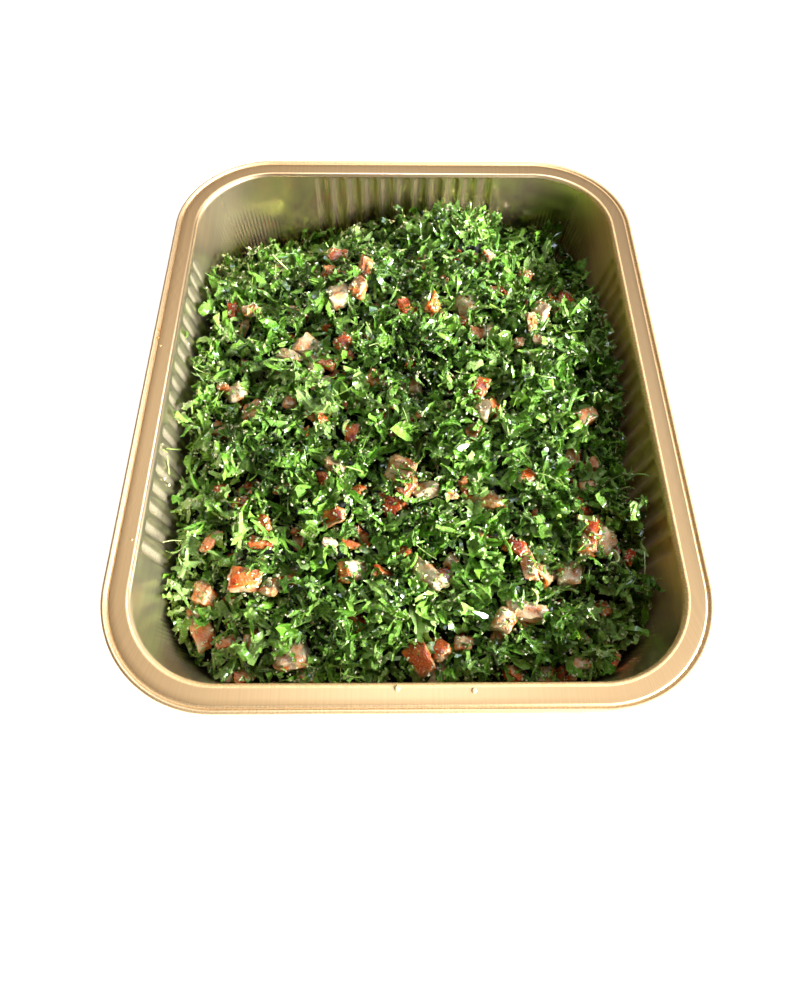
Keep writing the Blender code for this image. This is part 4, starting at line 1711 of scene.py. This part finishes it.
@dataclass
class Salad:
    """Everything loose in the tray, laid down in the order that a tossed salad shows it."""

    tray: TrayShape
    pile: Pile
    leaves: Kind = field(init=False)
    lobes: Kind = field(init=False)
    under: Kind = field(init=False)
    blades: Kind = field(init=False)
    ribbons: Kind = field(init=False)
    arcs: Kind = field(init=False)
    crumbs: Kind = field(init=False)
    stems: Kind = field(init=False)
    dice: Kind = field(init=False)
    bulgur: Kind = field(init=False)
    drops: Kind = field(init=False)
    seed: int = 21

    def __post_init__(self) -> None:
        """Cut the shapes of every kind."""
        draw = random.Random(self.seed)
        broad = LeafCut(7, (6.0, 12.0), (1.7, 3.5), 0.32, 0.13, 0.04, (15, 60), 0.08, 0.5, ruffle=0.45)
        curled = LeafCut(7, (5.0, 10.5), (1.3, 2.7), 0.34, 0.24, 0.07, (20, 70), 0.15, 0.6, ruffle=0.4)
        lobe = LeafCut(9, (9.0, 15.0), (2.4, 4.6), 0.36, 0.12, 0.05, (18, 58), 0.07, 0.6, ruffle=0.6)
        ribbon = LeafCut(9, (16.0, 16.0), (0.9, 1.5), 0.2, 0.1, 0.05, (20, 55), 0.05, 0.8, ruffle=0.3)
        under = LeafCut(5, (5.0, 10.0), (1.8, 3.4), 0.5, 0.1, 0.03, (5, 38), 0.06, 0.4)
        blade = LeafCut(5, (7.0, 15.0), (0.7, 1.5), 0.25, 0.08, 0.04, (10, 45), 0.08, 0.6)
        crumb = LeafCut(3, (1.6, 3.4), (0.5, 1.1), 0.3, 0.25, 0.1, (5, 40), 0.2, 0.3, thickness=0.3)
        leaf_shapes = [broad.shape(draw) for _ in range(22)] + [curled.shape(draw) for _ in range(14)]
        self.leaves = Kind("parsley_leaves", "parsley", LEAF, leaf_shapes, tilt=0.48, scale=(0.85, 1.5))
        lobe_shapes = [lobe.shape(draw) for _ in range(24)]
        self.lobes = Kind("parsley_lobes", "parsley", LEAF, lobe_shapes, tilt=0.42, scale=(0.95, 1.4))
        self.under = Kind("parsley_under", "parsley", LEAF, [under.shape(draw) for _ in range(12)])
        self.blades = Kind("parsley_strips", "parsley", LEAF, [blade.shape(draw) for _ in range(18)], tilt=0.4)
        self.crumbs = Kind("parsley_bits", "parsley", LEAF, [crumb.shape(draw) for _ in range(12)], tilt=0.6)
        self.ribbons = Kind("parsley_ribbons", "parsley", LEAF, [ribbon.shape(draw) for _ in range(8)])
        rod = StemCut((4.0, 8.0), (0.4, 0.8), 0.015)
        strand = StemCut((7.0, 14.0), (0.14, 0.24), 0.04, rings=6)
        straight = StemCut((10.0, 10.0), (0.35, 0.35), 0.004)
        stem_shapes = [rod.shape(draw) for _ in range(5)] + [strand.shape(draw) for _ in range(9)]
        self.stems = Kind("stem_pieces", "stem", STEM, [straight.shape(draw), *stem_shapes], tilt=0.3)
        arc = RingCut((3.0, 5.5), (2.0, 3.4), (70, 170))
        self.arcs = Kind("spring_onion_cuts", "onion", ONION, [arc.shape(draw) for _ in range(6)], mark="skin")
        sorts = (
            DiceCut((1.0, 0.8, 0.65), Skin.NONE, uneven=0.2),
            DiceCut((1.0, 0.75, 0.6), Skin.END, uneven=0.2),
            DiceCut((1.0, 0.6, 0.35), Skin.TOP, uneven=0.24),
            DiceCut((1.0, 0.5, 0.4), Skin.NONE, uneven=0.26),
            DiceCut((1.0, 0.4, 0.34), Skin.NONE, uneven=0.12, taper=0.4),
        )
        dice_shapes = [sort.shape(draw) for _ in range(4) for sort in sorts]
        self.dice = Kind("diced_tomato", "tomato", TOMATO, dice_shapes, tilt=0.35, mark="skin")
        grain = GrainCut((0.9, 1.8), (0.6, 0.85))
        grains = [grain.shape(draw) for _ in range(10)]
        self.bulgur = Kind("bulgur_grains", "bulgur", BULGUR, grains, grip=0.6, tinted=0.0)
        self.drops = Kind("dressing_drops", "dressing", DRESSING, [DropCut(1.0, 0.22).shape()])

    def lay(self) -> None:
        """Lay the kinds down one after another."""
        pile = self.pile
        # Painted shade: the lower stages get darker tones.
        pile.drop(self.under, 1700, level=-2.5, shade=-0.15)
        pile.drop(self.blades, 400, level=-2.5, shade=-0.15)
        self.bury_dice()
        pile.drop(self.lobes, 350, level=-1.0)
        pile.drop(self.leaves, 1600, level=-0.5)
        pile.drop(self.blades, 500, level=-0.5)
        self.show_dice()
        pile.drop(self.crumbs, 2400, level=0.0, cover=0.4)
        pile.drop(self.bulgur, 2200, level=0.0, cover=0.8, greed=1.0)
        pile.drop(self.stems, 240, level=0.2)
        # Painted light: the top stages get slightly lighter tones.
        pile.drop(self.lobes, 280, level=0.4, cover=0.02, shade=0.04)
        pile.drop(self.leaves, 1500, level=0.4, cover=0.03, shade=0.06)
        pile.drop(self.blades, 350, level=0.4, cover=0.04, shade=0.04)
        self.show_ribbons()
        self.stud_dice()
        pile.drop(self.stems, 140, level=0.6, cover=0.2, greed=0.5)
        pile.drop(self.crumbs, 2000, level=0.5, cover=0.7, patchy=0.5, greed=1.0)
        pile.drop(self.bulgur, 3000, level=0.5, cover=0.9, patchy=0.5, greed=0.3)
        self.stray_bits()
        self.rim_drops()

    def show_dice(self) -> None:
        """Press in the diced pieces that show on top."""
        draw = self.pile.random
        sorts = len(Morsel)
        for x, y, length, sort, tone, degrees in SHOWN_DICE:
            shape = sort.value + sorts * int(draw.integers(len(self.dice.shapes) // sorts))
            lift = 0.75 if sort is Morsel.SKINNED else 0.0
            turn = np.array([draw.normal(0, 0.2), draw.normal(lift, 0.2), math.radians(degrees)])
            self.press(x, y, length * 1.06, shape, turn, tone, draw.uniform(3.8, 5.2), 0.95)

    def stud_dice(self) -> None:
        """Stick bulgur grains and a few leaf crumbs to the wet rims of the dice that show."""
        draw = self.pile.random
        for x, y, length, _, _, degrees in SHOWN_DICE:
            for _ in range(int(length * 0.8)):
                angle = draw.uniform(0, 2 * math.pi)
                reach = length * draw.uniform(0.3, 0.5)
                along, across = reach * math.cos(angle), 0.75 * reach * math.sin(angle)
                turn = math.radians(degrees)
                at = np.array(
                    [
                        x + along * math.cos(turn) - across * math.sin(turn),
                        y + along * math.sin(turn) + across * math.cos(turn),
                    ]
                )
                kind = self.bulgur if draw.uniform() < 0.8 else self.crumbs
                shape = int(draw.integers(len(kind.shapes)))
                self.pile.rest(kind, at, draw.uniform(0, 6.3, 3), np.full(3, 1.1), shape, draw.uniform(0.4, 1))

    def show_ribbons(self) -> None:
        """Lay the long leaf strips and the spring onion cuts that show on top."""
        draw = self.pile.random
        for x, y, length, degrees, tone in SHOWN_RIBBONS:
            turn = np.array([draw.normal(0, 0.3), draw.normal(0, 0.12), math.radians(degrees)])
            shape = int(draw.integers(len(self.ribbons.shapes)))
            size = np.array([length / 16, 1.0, 1.0])
            self.pile.rest(self.ribbons, np.array([x, y], float), turn, size, shape, tone)
        for number, (x, y, degrees) in enumerate(SHOWN_ARCS):
            turn = np.array([draw.normal(0, 0.4), draw.normal(0, 0.4), math.radians(degrees)])
            shape = number % len(self.arcs.shapes)
            self.pile.rest(self.arcs, np.array([x, y], float), turn, np.ones(3), shape, draw.uniform(0.3, 0.9))

    def stray_bits(self) -> None:
        """Stick the bits to the inside of the left wall: a forked stem, leaf bits and grains."""
        draft = self.tray.draft
        inward = Vector((math.cos(draft), 0.0, math.sin(draft)))
        upward = Vector((-math.sin(draft), 0.0, math.cos(draft)))
        kinds = {
            Stray.STEM: (self.stems, (0,), 10.0),
            Stray.GRAIN: (self.bulgur, (0, 3, 6), 1.0),
            Stray.LEAF: (self.leaves, (2, 5, 9), 8.0),
            Stray.BLADE: (self.ribbons, (1, 4), 16.0),
        }
        for number, (y, z, sort, length, degrees, proud) in enumerate(STRAY_BITS):
            kind, shapes, whole = kinds[sort]
            angle = math.radians(degrees)
            ahead = Vector((0.0, math.cos(angle), 0.0)) + upward * math.sin(angle)
            basis = Matrix((ahead, inward.cross(ahead), inward)).transposed()
            x = -self.tray.core[0] - float(self.tray.wall_radius(z)) + proud
            size = np.array([length / whole, *([0.8 if sort is not Stray.GRAIN else length] * 2)])
            kind.resting.add(
                np.array([x, y, z]), np.array(basis.to_euler()), size, shapes[number % len(shapes)], 0.6
            )

    def rim_drops(self) -> None:
        """Let the drops of dressing stand on the flange."""
        for x, y, width, tone in DROPS:
            at = np.array([x, y, self.tray.flange_height])
            self.drops.resting.add(at, np.zeros(3), np.full(3, width), 0, tone)

    def bury_dice(self) -> None:
        """Press in the diced pieces that are half hidden."""
        draw = self.pile.random
        for _ in range(120):
            x = draw.uniform(-0.95, 0.95) * (self.tray.core[0] + 25)
            y = draw.uniform(-0.95, 0.95) * (self.tray.core[1] + 25)
            turn = draw.normal(0, 0.5, 3) + (0, 0, draw.uniform(0, 6.3))
            shape = int(draw.integers(len(self.dice.shapes)))
            self.press(x, y, draw.uniform(6, 11), shape, turn, draw.uniform(0.2, 0.9), draw.uniform(-1.0, 2.2), 0.2)

    def press(
        self, x: float, y: float, length: float, shape: int, turn: np.ndarray, tone: float, proud: float, spare: float
    ) -> None:
        """Press one diced piece in until its top stands proud of the pile's goal by a given height."""
        pile = self.pile
        size = np.full(3, length)
        feelers = (self.dice.shapes[shape].feelers * size) @ turn_matrix(turn).T
        rows, columns = pile.cells(x + feelers[:, 0], y + feelers[:, 1])
        row, column = pile.cells(np.array([x]), np.array([y]))
        z = float(pile.goal[row[0], column[0]]) + proud - feelers[:, 2].max()
        heights = feelers[:, 2] + z
        room = float(self.tray.room(x + feelers[:, 0], y + feelers[:, 1], heights).min()) - pile.margin
        if room < 0:
            at = np.array([x, y])
            away = at - np.clip(at, -self.tray.core, self.tray.core)
            x, y = at + away / max(np.hypot(*away), 1e-6) * room
            rows, columns = pile.cells(x + feelers[:, 0], y + feelers[:, 1])
        np.maximum.at(pile.top, (rows, columns), heights)
        pile.spared[rows, columns] = np.maximum(pile.spared[rows, columns], 1.0 if spare else 0.0)
        reach = length * spare
        near = np.hypot(pile.xs[None, :] - x, pile.ys[:, None] - y) < reach
        pile.spared[near] = 1.0
        self.dice.resting.add(np.array([x, y, z]), turn, size, shape, tone)

    def build(self) -> None:
        """Make every kind's mesh."""
        herbs = (self.leaves, self.lobes, self.under, self.blades, self.crumbs)
        for kind in (*herbs, self.ribbons, self.stems, self.arcs, self.dice, self.bulgur, self.drops):
            Scatter(kind).build()


# ---------------------------------------------------------------- the studio


@dataclass
class Studio:
    """Pale floor and backdrop, the lights, and the camera.

    The light is a bright canopy that leans to the back in a dim warm surround, a small crown
    straight overhead, a broad low key from the right front, and a small cool window.
    """

    camera_at: tuple[float, float, float] = (-7.16, -190.21, 323.85)
    pitch: float = 64.75
    yaw: float = 1.64
    roll: float = 1.41
    lens: float = 22.66
    canopy: tuple[float, float, float] = (-0.05, 0.39, 0.92)
    surround: float = 0.055
    overhead: float = 1.08
    crown: float = 0.3
    key_power: float = 134.0
    window_power: float = 5.0
    floor_half: float = 3000.0
    floor_glow: float = 0.65
    backdrop_radius: float = 4200.0

    def floor(self) -> None:
        """A plain pale floor."""
        mesh = bpy.data.meshes.new("floor")
        half = self.floor_half * MM
        mesh.from_pydata([(-half, -half, 0), (half, -half, 0), (half, half, 0), (-half, half, 0)], [], [(0, 1, 2, 3)])
        made, _, shader = new_finish("pale_floor")
        inputs = {
            "Base Color": linear("faf9f6"),
            "Roughness": 0.7,
            "Emission Color": linear("ffffff"),
            "Emission Strength": self.floor_glow,
        }
        fill(shader, inputs)
        mesh.materials.append(made)
        floor = new_object("floor", mesh)

    def backdrop(self) -> None:
        """A pale seamless backdrop far behind the floor; it is only seen, and sends no light."""
        shell = bmesh.new()
        bmesh.ops.create_icosphere(shell, subdivisions=4, radius=self.backdrop_radius * MM)
        mesh = bpy.data.meshes.new("backdrop")
        shell.to_mesh(mesh)
        shell.free()
        made, tree, _ = new_finish("pale_paper")
        paper = add_node(tree, "ShaderNodeEmission", {"Color": linear("f1efea"), "Strength": 1.0})
        fill(tree.nodes["Material Output"], {"Surface": paper.outputs[0]})
        mesh.materials.append(made)
        backdrop = new_object("backdrop", mesh)
        for ray in ("diffuse", "glossy", "transmission", "volume_scatter", "shadow"):
            setattr(backdrop, "visible_" + ray, False)

    def lights(self) -> None:
        """The key, the window, and the surround with its canopy and crown."""
        self.area("key", (1190, -480, 520), (1000, 300), self.key_power, "f8faff")
        self.area("window", (60, 500, 1230), (380, 380), self.window_power, "cde0ff")
        world = bpy.data.worlds.new("surround")
        world.use_nodes = True
        tree = world.node_tree
        back = tree.nodes["Background"]
        sky = add_node(tree, "ShaderNodeTexCoord").outputs["Generated"]
        spread = add_node(tree, "ShaderNodeVectorMath", {0: sky, 1: (1.22, 1.0, 1.0)}, operation="MULTIPLY")
        way = add_node(tree, "ShaderNodeVectorMath", {0: spread.outputs[0]}, operation="NORMALIZE")
        toward = add_node(tree, "ShaderNodeVectorMath", {0: way.outputs[0], 1: self.canopy}, operation="DOT_PRODUCT")
        share = ranged(tree, toward.outputs["Value"], 0.79, 0.985, 0.0, 1.0)
        strength = worked(tree, "MULTIPLY_ADD", share, self.overhead - self.surround, self.surround)
        upward = add_node(tree, "ShaderNodeVectorMath", {0: sky, 1: (0.1, 0.12, 0.987)}, operation="DOT_PRODUCT")
        crowned = ranged(tree, upward.outputs["Value"], 0.9, 0.98, 0.0, self.crown)
        inputs = {
            "Color": blended(tree, share, linear("e6bb84"), linear("fbf8f2")),
            "Strength": worked(tree, "ADD", strength, crowned),
        }
        fill(back, inputs)
        bpy.context.scene.world = world

    def area(
        self, name: str, at: tuple[float, float, float], size: tuple[float, float], power: float, code: str
    ) -> None:
        """Add an oblong area light that faces the middle of the tray; lengths are in millimetres."""
        data = bpy.data.lights.new(name, "AREA")
        data.shape = "RECTANGLE"
        data.size, data.size_y = size[0] * MM, size[1] * MM
        data.energy = power
        data.color = linear(code)[:3]
        lamp = bpy.data.objects.new(name, data)
        place = Vector(at) * MM
        lamp.location = place
        lamp.rotation_euler = (Vector((0, 0, 0.04)) - place).to_track_quat("-Z", "Y").to_euler()
        bpy.context.scene.collection.objects.link(lamp)

    def camera(self) -> None:
        """The camera, from its place and its three turns."""
        pitch, yaw, roll = (math.radians(a) for a in (self.pitch, self.yaw, self.roll))
        ahead = Vector((math.sin(yaw) * math.cos(pitch), math.cos(yaw) * math.cos(pitch), -math.sin(pitch)))
        right = Vector((math.cos(yaw), -math.sin(yaw), 0.0))
        up = right.cross(ahead)
        across = math.cos(roll) * right + math.sin(roll) * up
        upright = -math.sin(roll) * right + math.cos(roll) * up
        data = bpy.data.cameras.new("camera")
        data.lens = self.lens
        data.sensor_width = 36.0
        data.clip_start = 10 * MM
        camera = bpy.data.objects.new("camera", data)
        turn = Matrix((across, upright, -ahead)).transposed().to_4x4()
        camera.matrix_world = Matrix.Translation(Vector(self.camera_at) * MM) @ turn
        bpy.context.scene.collection.objects.link(camera)
        bpy.context.scene.camera = camera
        bpy.context.scene.view_settings.view_transform = "Standard"


def main() -> None:
    """Build the object piece by piece round the frame."""
    logging.basicConfig(level=logging.INFO, format="%(name)s: %(message)s")
    low, high = (np.array(corner) / MM for corner in CAD_BOX)
    shape = TrayShape(*(high - low))
    studio = Studio()
    studio.camera()
    studio.floor()
    studio.backdrop()
    studio.lights()
    tray = FoilTray(shape)
    tray.dress(tray.build(), GoldFoil())
    pile = Pile(shape, frame["nodes"]["salad_heap"])
    HeapCore(shape, pile).build()
    salad = Salad(shape, pile)
    salad.lay()
    salad.build()


if __name__ == "__main__":
    main()
